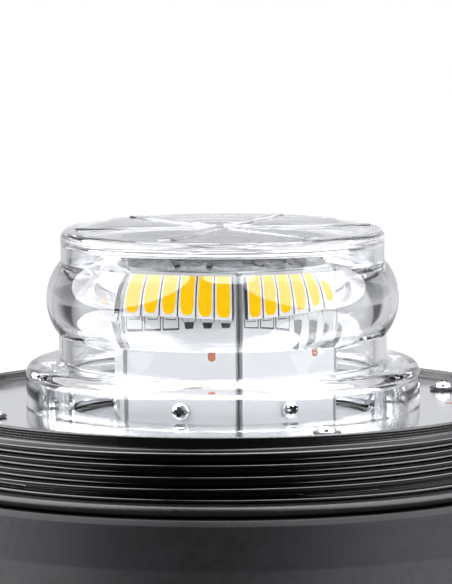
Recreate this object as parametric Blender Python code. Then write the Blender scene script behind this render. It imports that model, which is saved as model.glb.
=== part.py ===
"""A low-profile amber LED warning beacon, shown without its screw-on outer cover.

Run with: blender --background --python part.py
Metres, +Z up. The origin is the middle of the underside, and -Y is the front.
An azimuth is counted in degrees from the front towards +X.
"""

import math

import bmesh
import bpy
from mathutils import Matrix, Vector

MM = 0.001
GAP = 0.3  # clearance between pieces that touch, in millimetres as every size below
ROUND = 48  # sides of a large circle
HIDDEN_ROUND = 36  # sides of a large circle inside or underneath
SMALL_ROUND = 10  # sides of a screw or a small hole
TINY_ROUND = 8  # sides of a pilot hole
MEDIUM_ROUND = 24  # sides of a gland piece or a coil
OVERRUN = 1.0  # how far a cutter reaches past the wall it goes through

# Levels that drive everything else.
PLATE_TOP = 36.0
HOUSING_TOP = PLATE_TOP - 11.8
COVER_BOTTOM = 2.3
COVER_TOP = 4.8

# Clear inner lens.
LENS_HEIGHT = 31.6
LENS_CAP_RADIUS = 28.9
LENS_BULGE_RADIUS = 31.5
LENS_NECK_RADIUS = 29.3
LENS_FLANGE_RADIUS = 35.2
LENS_WALL = 2.2
LENS_BULGE_TOP = 25.9
LENS_BULGE_BOTTOM = 12.3
FLANGE_SHOULDER = 5.7
FLANGE_TOP = 7.9
LENS_CAP_EDGE = 1.6
LENS_NECK_FOOT = 0.6
LENS_SKIRT_FILLET = 1.2
LENS_CEILING_FILLET = 1.0
LENS_BOSS_AT = 29.6
LENS_BOSS_RADIUS = 3.0
LENS_BOSS_PILOT = 1.3
LENS_BOSS_PILOT_DEPTH = 6.5
LENS_SCREW_LENGTH = 10.5
SPOKE_WIDTH = 2.5
SPOKE_HEIGHT = 0.3
SPOKE_INNER = 2.9
SPOKE_OUTER = 26.6

# Hexagonal LED tower and its boards.
SIDES = 6
CORNER_AZIMUTH = 7.5
FACET_AZIMUTHS = [CORNER_AZIMUTH - 30 + 60 * side for side in range(SIDES)]
BOARD_FACE = 18.7  # from the axis to the front of a board
BOARD_THICKNESS = 1.0
BOARD_WIDTH = 20.1
BOARD_BOTTOM = PLATE_TOP - 1.9
BOARD_TOP = PLATE_TOP + 25.6
BOARD_SCREW_LEVEL = PLATE_TOP + 1.1
TOWER_FACE = BOARD_FACE - BOARD_THICKNESS - GAP
TOWER_TOP = PLATE_TOP + 25.9
TOWER_BORE = 9.0
TOWER_PILOT_END = 14.0
DECK_TOP = PLATE_TOP - 4.5
DECK_BOTTOM = PLATE_TOP - 7.0
FOOT_RADIUS = 26.3
FOOT_TOP = PLATE_TOP - 2.2
FOOT_SCREW_AT = 24.0
FOOT_SCREW_AZIMUTHS = [FACET_AZIMUTHS[3], FACET_AZIMUTHS[4]]
LENS_BOSS_AZIMUTHS = [FACET_AZIMUTHS[2], FACET_AZIMUTHS[5]]
LEDS_PER_BOARD = 6
LED_PITCH = 3.33
LED_SIZE = (3.0, 0.9, 6.15)
LED_LEVEL = PLATE_TOP + 21.12
LED_CARRIER = 0.25  # thickness of the strip that carries a board's LEDs
LED_CARRIER_INSET = 0.3  # how far the strip stops short of an LED's ends

# Silver plate and the collar round it.
PLATE_THICKNESS = 1.2
PLATE_INNER = 27.0
PLATE_OUTER = 48.6
PLATE_NOTCH = (24.0, 33.4, 4.0)  # round a lens boss: inner and outer reach, and half the width
SHELF_LEVEL = PLATE_TOP - PLATE_THICKNESS - GAP
SHELF_INNER = 26.8
SHELF_STEP = 35.6
SHELF_BODY = 2.5
DECK_HOLE = 6.0
PLATE_SCREW_AT = 44.0
PLATE_SCREW_AZIMUTHS = [23.7 + 90 * k for k in range(4)]
RIM_HEIGHT = 1.34
RIM_INNER = 52.0
COLLAR_RADIUS = 53.3
SPIGOT_OUTER = 51.8
SPIGOT_INNER = 46.5
SPIGOT_BOTTOM = 21.3

# Thread of the outer cover: one start, right-hand.
THREAD_CREST = 55.35
THREAD_PITCH = 2.0
THREAD_LEVEL = PLATE_TOP - 1.04  # crest at the front of the top turn
THREAD_START = -3 * 360 - 195
THREAD_END = 150
THREAD_RUN_OUT = 40
THREAD_ROOT = COLLAR_RADIUS - 0.8  # how deep the rib is rooted in the wall
RIDGE_LEVEL = PLATE_TOP - 8.98
RIDGE_RADIUS = 55.5
SEAT_RADIUS = 54.2
SEAL_RADIUS = 57.2

# Lower housing, bottom cover, magnet and pad.
HOUSING_RADIUS = 66.0
FLANGE_BOTTOM = 18.5
FLANGE_LEVEL = 21.0
COVER_RADIUS = 62.7
COVER_BOSS_TOP = 10.8
COVER_SCREW_AT = 56.5
COVER_SCREW_AZIMUTHS = [0, 120, 240]
COLLAR_SCREW_AT = 49.2
COLLAR_SCREW_AZIMUTHS = [45 + 90 * k for k in range(4)]
COVER_BOSS_RADIUS = 3.4
COVER_PILOT = 1.7
COVER_PILOT_DEPTH = 9.5
COUNTERBORE = 3.1
COUNTERBORE_DEPTH = 1.25
COLLAR_HOLE = 1.6
COLLAR_HOLE_TOP = 29.5
COVER_WELL_TOP = 8.3
COVER_HOLE = 2.8
MAGNET_CUP_RADIUS = 28.4
MAGNET_TOP = 8.0
MAGNET_BOTTOM = 0.3
MAGNET_WALL = 1.8
MAGNET_BACK = 2.0
MAGNET_HOLE = 3.2
MAGNET_RING_HOLE = 7.0
PAD_INNER = 30.5
PAD_OUTER = 52.0
PAD_THICKNESS = 2.0

# Driver board.
DRIVER_BOTTOM = 12.2
DRIVER_THICKNESS = 1.6
DRIVER_RADIUS = 43.0
DRIVER_TOP = DRIVER_BOTTOM + DRIVER_THICKNESS
POST_AT = 38.0
POST_RADIUS = 3.2
POST_PILOT_BOTTOM = 7.5
POST_AZIMUTHS = [60, 180, 300]
SCREW_PLAY = 1.5  # radius of a hole that a small screw passes through
SCREW_PILOT = 1.3  # radius of a hole that a small screw bites into
SCREW_LIFT = 0.15  # gap under a screw's head
INDUCTOR = (6.2, 5.0, 6.5)  # flange radius, waist radius and height
INDUCTOR_AT = (20.0, 250)
CAPACITOR = (4.0, 9.5)  # radius and height
CAPACITOR_AT = 24.0
CAPACITOR_AZIMUTHS = [100, 135]
CHIP_CORNERS = ((-4.0, -15.0), (4.0, -7.0))
CHIP_HEIGHT = 1.7
CONNECTOR_CORNERS = ((-6.0, 26.0), (6.0, 33.0))
CONNECTOR_HEIGHT = 7.5
SOCKET_AT = 3.0
SOCKET_HALF = 1.9
SOCKET_LEVELS = (1.5, 6.0)
HARNESS_RADIUS = 1.8
HARNESS_START = (9.0, 3.0)

# Cable gland at the back.
GLAND_LEVEL = 12.6
GLAND_WALL = 57.0
GLAND_BORE = 3.2
GLAND_BARREL = 4.6
GLAND_HEX = 11.4
GLAND_INNER_END = 47.2
GLAND_PAD_HALF = 9.5
GLAND_PAD_DEPTHS = (50.2, 59.4)
GLAND_POCKET_HALF = 7.6
GLAND_POCKET_LEVELS = (6.6, 19.0)
GLAND_CAP_RADIUS = 5.9
LOCKNUT_DEPTHS = (47.6, 49.9)


AXIS = Vector((0, 0, 0))


def clear_scene():
    for obj in list(bpy.data.objects):
        bpy.data.objects.remove(obj, do_unlink=True)


def material(name, colour, roughness, metallic=0.0, alpha=1.0):
    made = bpy.data.materials.new(name)
    made.use_nodes = True
    shader = made.node_tree.nodes["Principled BSDF"]
    shader.inputs["Base Color"].default_value = (*colour, 1.0)
    shader.inputs["Roughness"].default_value = roughness
    shader.inputs["Metallic"].default_value = metallic
    shader.inputs["Alpha"].default_value = alpha
    made.diffuse_color = (*colour, alpha)
    return made


def around(radius, azimuth, level=0.0):
    """A point at this distance from the axis, in millimetres."""
    turn = math.radians(azimuth)
    return Vector((radius * math.sin(turn), -radius * math.cos(turn), level))


def arc(centre, radius, start, end, steps):
    """Points of an outline along a round stretch, angles in degrees from +R towards +Z."""
    turns = [math.radians(start + (end - start) * k / steps) for k in range(steps + 1)]
    return [(centre[0] + radius * math.cos(t), centre[1] + radius * math.sin(t)) for t in turns]


def mesh_of(bm, name):
    bmesh.ops.recalc_face_normals(bm, faces=bm.faces)
    bmesh.ops.scale(bm, vec=(MM, MM, MM), verts=bm.verts)
    mesh = bpy.data.meshes.new(name)
    bm.to_mesh(mesh)
    bm.free()
    return mesh


def place(name, mesh, look, location=(0, 0, 0), rotation=None):
    """An object in the scene, placed in millimetres."""
    obj = bpy.data.objects.new(name, mesh)
    bpy.context.scene.collection.objects.link(obj)
    obj.location = Vector(location) * MM
    if rotation is not None:
        obj.rotation_euler = rotation
    if look is not None:
        mesh.materials.clear()
        mesh.materials.append(look)
    return obj


def smooth(obj, angle=30):
    obj.data.shade_smooth()
    obj.data.set_sharp_from_angle(angle=math.radians(angle))
    return obj


def turned(bm, outline, steps):
    """Spins an outline of (radius, level) about Z. One that starts and ends on the axis is left open."""
    points = [bm.verts.new((r, 0, z)) for r, z in outline]
    on_axis = outline[0][0] == 0 and outline[-1][0] == 0
    loop = points if on_axis else points + points[:1]
    edges = [bm.edges.new(pair) for pair in zip(loop, loop[1:])]
    bmesh.ops.spin(
        bm, geom=points + edges, axis=(0, 0, 1), cent=(0, 0, 0), angle=math.tau, steps=steps,
        use_merge=True, use_duplicate=False,
    )
    bmesh.ops.remove_doubles(bm, verts=bm.verts, dist=1e-5)


def lathe(name, outline, look, steps=ROUND):
    bm = bmesh.new()
    turned(bm, outline, steps)
    return smooth(place(name, mesh_of(bm, name), look))


def add_prism(bm, outline, low, high):
    """Adds an upright prism on an outline of (x, y)."""
    face = bm.faces.new([bm.verts.new((x, y, low)) for x, y in outline])
    raised = bmesh.ops.extrude_face_region(bm, geom=[face])["geom"]
    moved = [part for part in raised if isinstance(part, bmesh.types.BMVert)]
    bmesh.ops.translate(bm, verts=moved, vec=(0, 0, high - low))


def add_box(bm, low, high):
    base = [(low[0], low[1]), (high[0], low[1]), (high[0], high[1]), (low[0], high[1])]
    add_prism(bm, base, low[2], high[2])


def polygon(sides, radius, first=0.0, centre=(0, 0)):
    points = [around(radius, first + 360 * side / sides) for side in range(sides)]
    return [(centre[0] + point.x, centre[1] + point.y) for point in points]


def add_rods(bm, spots, radius, low, high, steps=SMALL_ROUND):
    """Adds upright rods at the (x, y) of each spot."""
    for spot in spots:
        add_prism(bm, polygon(steps, radius, centre=(spot.x, spot.y)), low, high)


def tool(name, bm):
    """A hidden shape that a Boolean joins to a piece or cuts from it."""
    obj = place(name, mesh_of(bm, name), None)
    obj.hide_render = True
    obj.display_type = "WIRE"
    return obj


def boolean(obj, other, operation):
    modifier = obj.modifiers.new(other.name, "BOOLEAN")
    modifier.operation = operation
    modifier.object = other
    modifier.solver = "EXACT"


def join(obj, name, build):
    bm = bmesh.new()
    build(bm)
    boolean(obj, tool(name, bm), "UNION")


def cut(obj, name, build):
    bm = bmesh.new()
    build(bm)
    boolean(obj, tool(name, bm), "DIFFERENCE")


def spots(radius, azimuths):
    return [around(radius, azimuth) for azimuth in azimuths]


# ---------------------------------------------------------------- lens


def lens_outer():
    """Outline of the outside, from the top's centre down to the skirt's foot."""
    top = PLATE_TOP + LENS_HEIGHT
    edge = LENS_CAP_EDGE
    outline = [(0, top), (LENS_CAP_RADIUS - edge, top)]
    outline += arc((LENS_CAP_RADIUS - edge, top - edge), edge, 60, 0, 2)
    half = (LENS_BULGE_TOP - LENS_BULGE_BOTTOM) / 2
    middle = PLATE_TOP + LENS_BULGE_BOTTOM + half
    depth = LENS_BULGE_RADIUS - LENS_CAP_RADIUS
    bend = (half * half + depth * depth) / (2 * depth)
    reach = math.degrees(math.asin(half / bend))
    outline += arc((LENS_BULGE_RADIUS - bend, middle), bend, reach, -reach, 6)[:-1]
    outline += [(LENS_NECK_RADIUS, middle - half)]
    outline += [(LENS_NECK_RADIUS, PLATE_TOP + FLANGE_TOP + LENS_NECK_FOOT)]
    outline += [(LENS_NECK_RADIUS + LENS_NECK_FOOT, PLATE_TOP + FLANGE_TOP)]
    round_off = FLANGE_TOP - FLANGE_SHOULDER
    corner = (LENS_FLANGE_RADIUS - round_off, PLATE_TOP + FLANGE_SHOULDER)
    outline += arc(corner, round_off, 90, 0, 3)
    outline += [(LENS_FLANGE_RADIUS, PLATE_TOP + GAP)]
    return outline


def lens_inner():
    """Outline of the inside, from the skirt's foot up to the top's centre."""
    inside = LENS_NECK_RADIUS - LENS_WALL - 0.2
    ceiling = PLATE_TOP + LENS_HEIGHT - LENS_WALL
    skirt = LENS_FLANGE_RADIUS - LENS_WALL
    under = PLATE_TOP + FLANGE_TOP - LENS_WALL
    outline = [(skirt, PLATE_TOP + GAP)]
    outline += arc((skirt - LENS_SKIRT_FILLET, under - LENS_SKIRT_FILLET), LENS_SKIRT_FILLET, 0, 90, 2)
    outline += [(inside + LENS_NECK_FOOT, under), (inside, under + LENS_NECK_FOOT)]
    corner = (inside - LENS_CEILING_FILLET, ceiling - LENS_CEILING_FILLET)
    outline += arc(corner, LENS_CEILING_FILLET, 0, 90, 2)
    return outline + [(0, ceiling)]


def add_spokes(bm):
    top = PLATE_TOP + LENS_HEIGHT
    for azimuth in FACET_AZIMUTHS:
        start = len(bm.verts)
        half = SPOKE_WIDTH / 2
        add_box(bm, (-half, -SPOKE_OUTER, top - 0.8), (half, -SPOKE_INNER, top + SPOKE_HEIGHT))
        bm.verts.ensure_lookup_table()
        turn = Matrix.Rotation(math.radians(azimuth), 3, "Z")
        bmesh.ops.rotate(bm, verts=bm.verts[start:], cent=(0, 0, 0), matrix=turn)


def make_lens(look):
    lens = lathe("lens", lens_outer() + lens_inner(), look)
    join(lens, "lens_spokes", add_spokes)
    bosses = spots(LENS_BOSS_AT, LENS_BOSS_AZIMUTHS)
    under = PLATE_TOP + FLANGE_TOP - LENS_WALL
    low = SHELF_LEVEL + GAP
    join(lens, "lens_bosses", lambda bm: add_rods(bm, bosses, LENS_BOSS_RADIUS, low, under + 0.6))
    pilot_top = low + LENS_BOSS_PILOT_DEPTH
    cut(lens, "lens_boss_holes", lambda bm: add_rods(
        bm, bosses, LENS_BOSS_PILOT, low - OVERRUN, pilot_top, TINY_ROUND,
    ))


# ---------------------------------------------------------------- tower


def make_tower(look):
    bm = bmesh.new()
    corner = TOWER_FACE / math.cos(math.pi / SIDES)
    add_prism(bm, polygon(SIDES, corner, CORNER_AZIMUTH), DECK_TOP + GAP, TOWER_TOP)
    tower = place("led_tower", mesh_of(bm, "led_tower"), look)

    def foot(bm):
        add_prism(bm, polygon(HIDDEN_ROUND, FOOT_RADIUS), DECK_TOP + GAP, FOOT_TOP)

    def holes(bm):
        add_rods(bm, [AXIS], TOWER_BORE, DECK_TOP - OVERRUN, TOWER_TOP + OVERRUN, MEDIUM_ROUND)
        screws = spots(FOOT_SCREW_AT, FOOT_SCREW_AZIMUTHS)
        add_rods(bm, screws, SCREW_PLAY, DECK_TOP - OVERRUN, FOOT_TOP + OVERRUN)
        for azimuth in FACET_AZIMUTHS:
            start = len(bm.verts)
            add_rods(bm, [AXIS], SCREW_PILOT, TOWER_PILOT_END, BOARD_FACE, TINY_ROUND)
            bm.verts.ensure_lookup_table()
            lay_out(bm, bm.verts[start:], azimuth, BOARD_SCREW_LEVEL)

    join(tower, "tower_foot", foot)
    cut(tower, "tower_holes", holes)


def lay_out(bm, verts, azimuth, level):
    """Turns shapes built along +Z so that they point outwards at this azimuth."""
    turn = Matrix.Rotation(math.radians(azimuth), 3, "Z") @ Matrix.Rotation(math.radians(90), 3, "X")
    bmesh.ops.rotate(bm, verts=verts, cent=(0, 0, 0), matrix=turn)
    bmesh.ops.translate(bm, verts=verts, vec=(0, 0, level))


def evaluated_mesh(obj):
    """The object's mesh with its modifiers applied, for copies to share."""
    bpy.context.view_layer.update()
    graph = bpy.context.evaluated_depsgraph_get()
    return bpy.data.meshes.new_from_object(obj.evaluated_get(graph))


def discard(obj):
    bpy.data.objects.remove(obj, do_unlink=True)


def make_boards(look):
    bm = bmesh.new()
    half = BOARD_WIDTH / 2
    back = -(BOARD_FACE - BOARD_THICKNESS)
    add_box(bm, (-half, -BOARD_FACE, BOARD_BOTTOM), (half, back, BOARD_TOP))
    pattern = place("board_pattern", mesh_of(bm, "board_pattern"), look)

    def hole(bm):
        add_rods(bm, [AXIS], SCREW_PILOT, BOARD_FACE - BOARD_THICKNESS - OVERRUN, BOARD_FACE + OVERRUN)
        lay_out(bm, bm.verts[:], 0, BOARD_SCREW_LEVEL)

    cut(pattern, "board_hole", hole)
    mesh = evaluated_mesh(pattern)
    discard(pattern)
    for number, azimuth in enumerate(FACET_AZIMUTHS, 1):
        place(f"led_board_{number}", mesh, look, rotation=(0, 0, math.radians(azimuth)))


def make_led_rows(look):
    wide, deep, tall = LED_SIZE
    reach = LED_PITCH * (LEDS_PER_BOARD - 1) / 2
    back = BOARD_FACE + LED_CARRIER
    half = tall / 2 - LED_CARRIER_INSET
    bm = bmesh.new()
    add_box(
        bm, (-reach - wide / 2, -back - LED_CARRIER, LED_LEVEL - half),
        (reach + wide / 2, -back, LED_LEVEL + half),
    )
    pattern = place("row_pattern", mesh_of(bm, "row_pattern"), look)

    def packages(bm):
        for index in range(LEDS_PER_BOARD):
            x = -reach + index * LED_PITCH
            low = (x - wide / 2, -back - deep, LED_LEVEL - tall / 2)
            add_box(bm, low, (x + wide / 2, -back - 0.05, LED_LEVEL + tall / 2))

    join(pattern, "row_packages", packages)
    mesh = evaluated_mesh(pattern)
    discard(pattern)
    for number, azimuth in enumerate(FACET_AZIMUTHS, 1):
        place(f"led_row_{number}", mesh, look, rotation=(0, 0, math.radians(azimuth)))


# ---------------------------------------------------------------- screws


def screw_mesh(name, head_radius, head_height, shank_radius, length, flange=0.0, slotted=True):
    """A pan-head screw, seated at Z = 0 with its shank pointing down. The hidden ones have no cross slot."""
    outline = [(0, -length), (shank_radius, -length), (shank_radius, 0)]
    if flange:
        outline += [(flange, 0), (flange, 0.35)]
    else:
        outline += [(head_radius, 0)]
    outline += [
        (head_radius, 0.4 * head_height), (0.85 * head_radius, 0.75 * head_height),
        (0.5 * head_radius, head_height), (0, head_height),
    ]
    bm = bmesh.new()
    turned(bm, outline, SMALL_ROUND)
    if not slotted:
        return mesh_of(bm, name)
    pattern = place(name + "_pattern", mesh_of(bm, name), None)

    def slot(bm):
        reach = 0.55 * head_radius
        half = 0.13 * head_radius
        floor = 0.45 * head_height
        corners = [
            (-half, -reach), (half, -reach), (half, -half), (reach, -half), (reach, half), (half, half),
        ]
        corners += [(-x, -y) for x, y in corners]
        add_prism(bm, corners, floor, head_height + 1)

    cut(pattern, name + "_slot", slot)
    mesh = evaluated_mesh(pattern)
    discard(pattern)
    return mesh


def make_screws(steel, dark_steel):
    board = screw_mesh("board_screw", 1.67, 1.2, 1.0, 4.3)
    for number, azimuth in enumerate(FACET_AZIMUTHS, 1):
        seat = around(BOARD_FACE + 0.1, azimuth, BOARD_SCREW_LEVEL)
        turn = (math.radians(90), 0, math.radians(azimuth))
        smooth(place(f"board_screw_{number}", board, steel, seat, turn))
    plate = screw_mesh("plate_screw", 1.6, 1.5, 1.1, 3.6, flange=2.45)
    for number, azimuth in enumerate(PLATE_SCREW_AZIMUTHS, 1):
        seat = around(PLATE_SCREW_AT, azimuth, PLATE_TOP + SCREW_LIFT)
        smooth(place(f"plate_screw_{number}", plate, steel, seat))
    foot = screw_mesh("tower_screw", 1.9, 1.4, 1.1, 4.2)
    for number, azimuth in enumerate(FOOT_SCREW_AZIMUTHS, 1):
        seat = around(FOOT_SCREW_AT, azimuth, FOOT_TOP + SCREW_LIFT)
        smooth(place(f"tower_screw_{number}", foot, steel, seat))
    driver = screw_mesh("driver_screw", 2.2, 1.5, 1.0, 5.5, slotted=False)
    for number, azimuth in enumerate(POST_AZIMUTHS, 1):
        seat = around(POST_AT, azimuth, DRIVER_TOP + SCREW_LIFT)
        smooth(place(f"driver_screw_{number}", driver, steel, seat))
    upside_down = (math.pi, 0, 0)
    lens = screw_mesh("lens_screw", 2.1, 1.4, 1.0, LENS_SCREW_LENGTH, slotted=False)
    for number, azimuth in enumerate(LENS_BOSS_AZIMUTHS, 1):
        seat = around(LENS_BOSS_AT, azimuth, DECK_BOTTOM - SCREW_LIFT)
        smooth(place(f"lens_screw_{number}", lens, steel, seat, upside_down))
    collar = screw_mesh("collar_screw", 2.2, 1.8, 1.25, 10.0, slotted=False)
    for number, azimuth in enumerate(COLLAR_SCREW_AZIMUTHS, 1):
        seat = around(COLLAR_SCREW_AT, azimuth, FLANGE_BOTTOM - SCREW_LIFT)
        smooth(place(f"collar_screw_{number}", collar, dark_steel, seat, upside_down))
    cover = screw_mesh("cover_screw", 2.7, 1.0, 1.4, 10.0)
    for number, azimuth in enumerate(COVER_SCREW_AZIMUTHS, 1):
        seat = around(COVER_SCREW_AT, azimuth, COVER_BOTTOM + 1.1)
        smooth(place(f"cover_screw_{number}", cover, dark_steel, seat, upside_down))


# ---------------------------------------------------------------- collar and plate


def collar_outline():
    """The collar in section: rim, threaded wall, ridge, seal seat, spigot, deck and plate ledge."""
    rim = PLATE_TOP + RIM_HEIGHT
    return [
        (RIM_INNER, rim), (COLLAR_RADIUS - 0.2, rim), (COLLAR_RADIUS, rim - 0.2),
        (COLLAR_RADIUS, RIDGE_LEVEL + 0.45), (RIDGE_RADIUS, RIDGE_LEVEL + SCREW_LIFT),
        (RIDGE_RADIUS, RIDGE_LEVEL - 0.2), (SEAT_RADIUS, RIDGE_LEVEL - 0.4),
        (SEAT_RADIUS, HOUSING_TOP + GAP), (SPIGOT_OUTER, HOUSING_TOP + GAP),
        (SPIGOT_OUTER, SPIGOT_BOTTOM), (SPIGOT_INNER, SPIGOT_BOTTOM),
        (SPIGOT_INNER, SHELF_LEVEL - SHELF_BODY), (SHELF_STEP, SHELF_LEVEL - SHELF_BODY),
        (SHELF_STEP, DECK_BOTTOM), (DECK_HOLE, DECK_BOTTOM),
        (DECK_HOLE, DECK_TOP), (SHELF_INNER, DECK_TOP), (SHELF_INNER, SHELF_LEVEL),
        (PLATE_OUTER + GAP, SHELF_LEVEL),
        (PLATE_OUTER + GAP, PLATE_TOP), (RIM_INNER, PLATE_TOP),
    ]


def add_thread(bm):
    """A helical rib that sinks into the wall at both ends."""
    step = 360 / ROUND
    count = round((THREAD_END - THREAD_START) / step)
    least = THREAD_ROOT + 0.3
    rings = []
    for index in range(count + 1):
        azimuth = THREAD_START + index * step
        ramp = min(azimuth - THREAD_START, THREAD_END - azimuth) / THREAD_RUN_OUT
        crest = least + (THREAD_CREST - least) * min(1.0, ramp)
        level = THREAD_LEVEL + THREAD_PITCH * azimuth / 360
        section = [(THREAD_ROOT, 0.55), (crest, 0.1), (crest, -0.25), (THREAD_ROOT, -0.75)]
        rings.append([bm.verts.new(around(radius, azimuth, level + rise)) for radius, rise in section])
    for near, far in zip(rings, rings[1:]):
        for k in range(4):
            bm.faces.new([near[k], near[(k + 1) % 4], far[(k + 1) % 4], far[k]])
    bm.faces.new(rings[0])
    bm.faces.new(rings[-1])


def make_collar(look):
    collar = lathe("threaded_collar", collar_outline(), look)
    join(collar, "collar_thread", add_thread)

    def holes(bm):
        top = SHELF_LEVEL + OVERRUN
        low = DECK_BOTTOM - OVERRUN
        add_rods(bm, spots(PLATE_SCREW_AT, PLATE_SCREW_AZIMUTHS), SCREW_PLAY, low, top)
        add_rods(bm, spots(FOOT_SCREW_AT, FOOT_SCREW_AZIMUTHS), SCREW_PLAY, low, DECK_TOP + OVERRUN)
        add_rods(bm, spots(LENS_BOSS_AT, LENS_BOSS_AZIMUTHS), SCREW_PLAY, low, top)
        collar_screws = spots(COLLAR_SCREW_AT, COLLAR_SCREW_AZIMUTHS)
        add_rods(bm, collar_screws, COLLAR_HOLE, SPIGOT_BOTTOM - OVERRUN, COLLAR_HOLE_TOP)

    cut(collar, "collar_holes", holes)


def make_plate(look):
    low = PLATE_TOP - PLATE_THICKNESS
    outline = [
        (PLATE_INNER, PLATE_TOP), (PLATE_OUTER - 0.2, PLATE_TOP), (PLATE_OUTER, PLATE_TOP - 0.2),
        (PLATE_OUTER, low), (PLATE_INNER, low),
    ]
    plate = lathe("reflector_plate", outline, look)
    holes = spots(PLATE_SCREW_AT, PLATE_SCREW_AZIMUTHS)

    def notches(bm):
        near, far, half = PLATE_NOTCH
        for azimuth in LENS_BOSS_AZIMUTHS:
            start = len(bm.verts)
            add_box(bm, (-half, -far, low - OVERRUN), (half, -near, PLATE_TOP + OVERRUN))
            bm.verts.ensure_lookup_table()
            turn = Matrix.Rotation(math.radians(azimuth), 3, "Z")
            bmesh.ops.rotate(bm, verts=bm.verts[start:], cent=(0, 0, 0), matrix=turn)

    cut(plate, "plate_holes", lambda bm: add_rods(bm, holes, SCREW_PLAY, low - OVERRUN, PLATE_TOP + OVERRUN))
    cut(plate, "plate_notches", notches)


def make_seal(look):
    inner = SEAT_RADIUS + GAP
    low = HOUSING_TOP + GAP
    high = RIDGE_LEVEL - 0.4 - 0.2
    bend = (high - low) / 2
    outline = [(inner, low)] + arc((SEAL_RADIUS, low + bend), bend, -90, 90, 5) + [(inner, high)]
    lathe("cover_seal", outline, look)


# ---------------------------------------------------------------- lower housing


def housing_outline():
    """The lower housing in section: mouth, shoulder, flared skirt, cover seat and inner flange."""
    return [
        (SPIGOT_OUTER + GAP, HOUSING_TOP), (58.3, HOUSING_TOP), (58.9, HOUSING_TOP - 0.3),
        (59.2, HOUSING_TOP - 1.0), (59.7, HOUSING_TOP - 3.4), (60.8, 16.0), (63.0, 9.8), (65.2, 6.2),
        (HOUSING_RADIUS, 4.6), (HOUSING_RADIUS, 2.6), (HOUSING_RADIUS - 0.6, 2.0),
        (COVER_RADIUS + GAP, 2.0), (COVER_RADIUS + GAP, COVER_TOP + GAP), (60.8, COVER_TOP + GAP),
        (60.0, 10.0), (57.4, 15.8), (56.6, FLANGE_BOTTOM), (44.5, FLANGE_BOTTOM),
        (44.5, FLANGE_LEVEL), (SPIGOT_OUTER + GAP, FLANGE_LEVEL),
    ]


def make_housing(look):
    housing = lathe("base_housing", housing_outline(), look)
    bosses = spots(COVER_SCREW_AT, COVER_SCREW_AZIMUTHS)

    def solids(bm):
        top = FLANGE_BOTTOM + 0.8
        near, far = GLAND_PAD_DEPTHS
        add_rods(bm, bosses, COVER_BOSS_RADIUS, COVER_TOP + GAP, top)
        add_box(bm, (-GLAND_PAD_HALF, near, 6.0), (GLAND_PAD_HALF, far, top))

    def hollows(bm):
        add_rods(bm, bosses, COVER_PILOT, COVER_TOP - OVERRUN, COVER_TOP + COVER_PILOT_DEPTH)
        collar_screws = spots(COLLAR_SCREW_AT, COLLAR_SCREW_AZIMUTHS)
        add_rods(bm, collar_screws, COLLAR_HOLE, FLANGE_BOTTOM - OVERRUN, FLANGE_LEVEL + OVERRUN)
        low, high = GLAND_POCKET_LEVELS
        outside = HOUSING_RADIUS + 4 * OVERRUN
        add_box(bm, (-GLAND_POCKET_HALF, GLAND_WALL, low), (GLAND_POCKET_HALF, outside, high))

    join(housing, "housing_bosses", solids)
    cut(housing, "housing_hollows", hollows)
    cut(housing, "housing_gland_hole", along_gland(lambda bm: add_rod(
        bm, GLAND_BARREL + GAP, GLAND_PAD_DEPTHS[0] - 2 * OVERRUN, GLAND_PAD_DEPTHS[1] + OVERRUN,
    )))


def make_cover(look):
    """The bottom cover, with a raised well for the magnet and posts for the driver board."""
    well = MAGNET_CUP_RADIUS + 0.4
    outline = [
        (COVER_HOLE, COVER_WELL_TOP), (well, COVER_WELL_TOP), (well, COVER_BOTTOM),
        (COVER_RADIUS, COVER_BOTTOM), (COVER_RADIUS, COVER_TOP),
        (well + 2.8, COVER_TOP), (well + 2.8, COVER_BOSS_TOP - 0.5),
        (well + 2.3, COVER_BOSS_TOP), (COVER_HOLE, COVER_BOSS_TOP),
    ]
    cover = lathe("bottom_cover", outline, look, HIDDEN_ROUND)
    posts = spots(POST_AT, POST_AZIMUTHS)
    screws = spots(COVER_SCREW_AT, COVER_SCREW_AZIMUTHS)

    def holes(bm):
        add_rods(bm, posts, SCREW_PILOT, POST_PILOT_BOTTOM, DRIVER_BOTTOM + OVERRUN, TINY_ROUND)
        add_rods(bm, screws, COVER_PILOT, COVER_BOTTOM - OVERRUN, COVER_TOP + OVERRUN)

    post_low = COVER_TOP - OVERRUN
    bore = (COVER_BOTTOM - OVERRUN, COVER_BOTTOM + COUNTERBORE_DEPTH)
    join(cover, "cover_posts", lambda bm: add_rods(bm, posts, POST_RADIUS, post_low, DRIVER_BOTTOM - GAP))
    cut(cover, "cover_holes", holes)
    cut(cover, "cover_counterbores", lambda bm: add_rods(bm, screws, COUNTERBORE, *bore))


def make_magnet(steel, ferrite):
    low = MAGNET_BOTTOM
    top = MAGNET_TOP
    inside = MAGNET_CUP_RADIUS - MAGNET_WALL
    back = top - MAGNET_BACK
    lathe("magnet_cup", [
        (MAGNET_HOLE, top), (MAGNET_CUP_RADIUS - 0.6, top), (MAGNET_CUP_RADIUS, top - 0.6),
        (MAGNET_CUP_RADIUS, low), (inside, low), (inside, back), (MAGNET_HOLE, back),
    ], steel, HIDDEN_ROUND)
    ring = inside - GAP - 0.1
    lathe("magnet_ring", [
        (MAGNET_RING_HOLE, low), (MAGNET_RING_HOLE, back - GAP), (ring, back - GAP), (ring, low + 0.4),
        (ring - 0.4, low),
    ], ferrite, HIDDEN_ROUND)
    mesh = screw_mesh("magnet_screw", 4.6, 2.2, 2.4, 4.2)
    smooth(place("magnet_screw", mesh, steel, (0, 0, back - GAP), (math.pi, 0, 0)))


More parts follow.
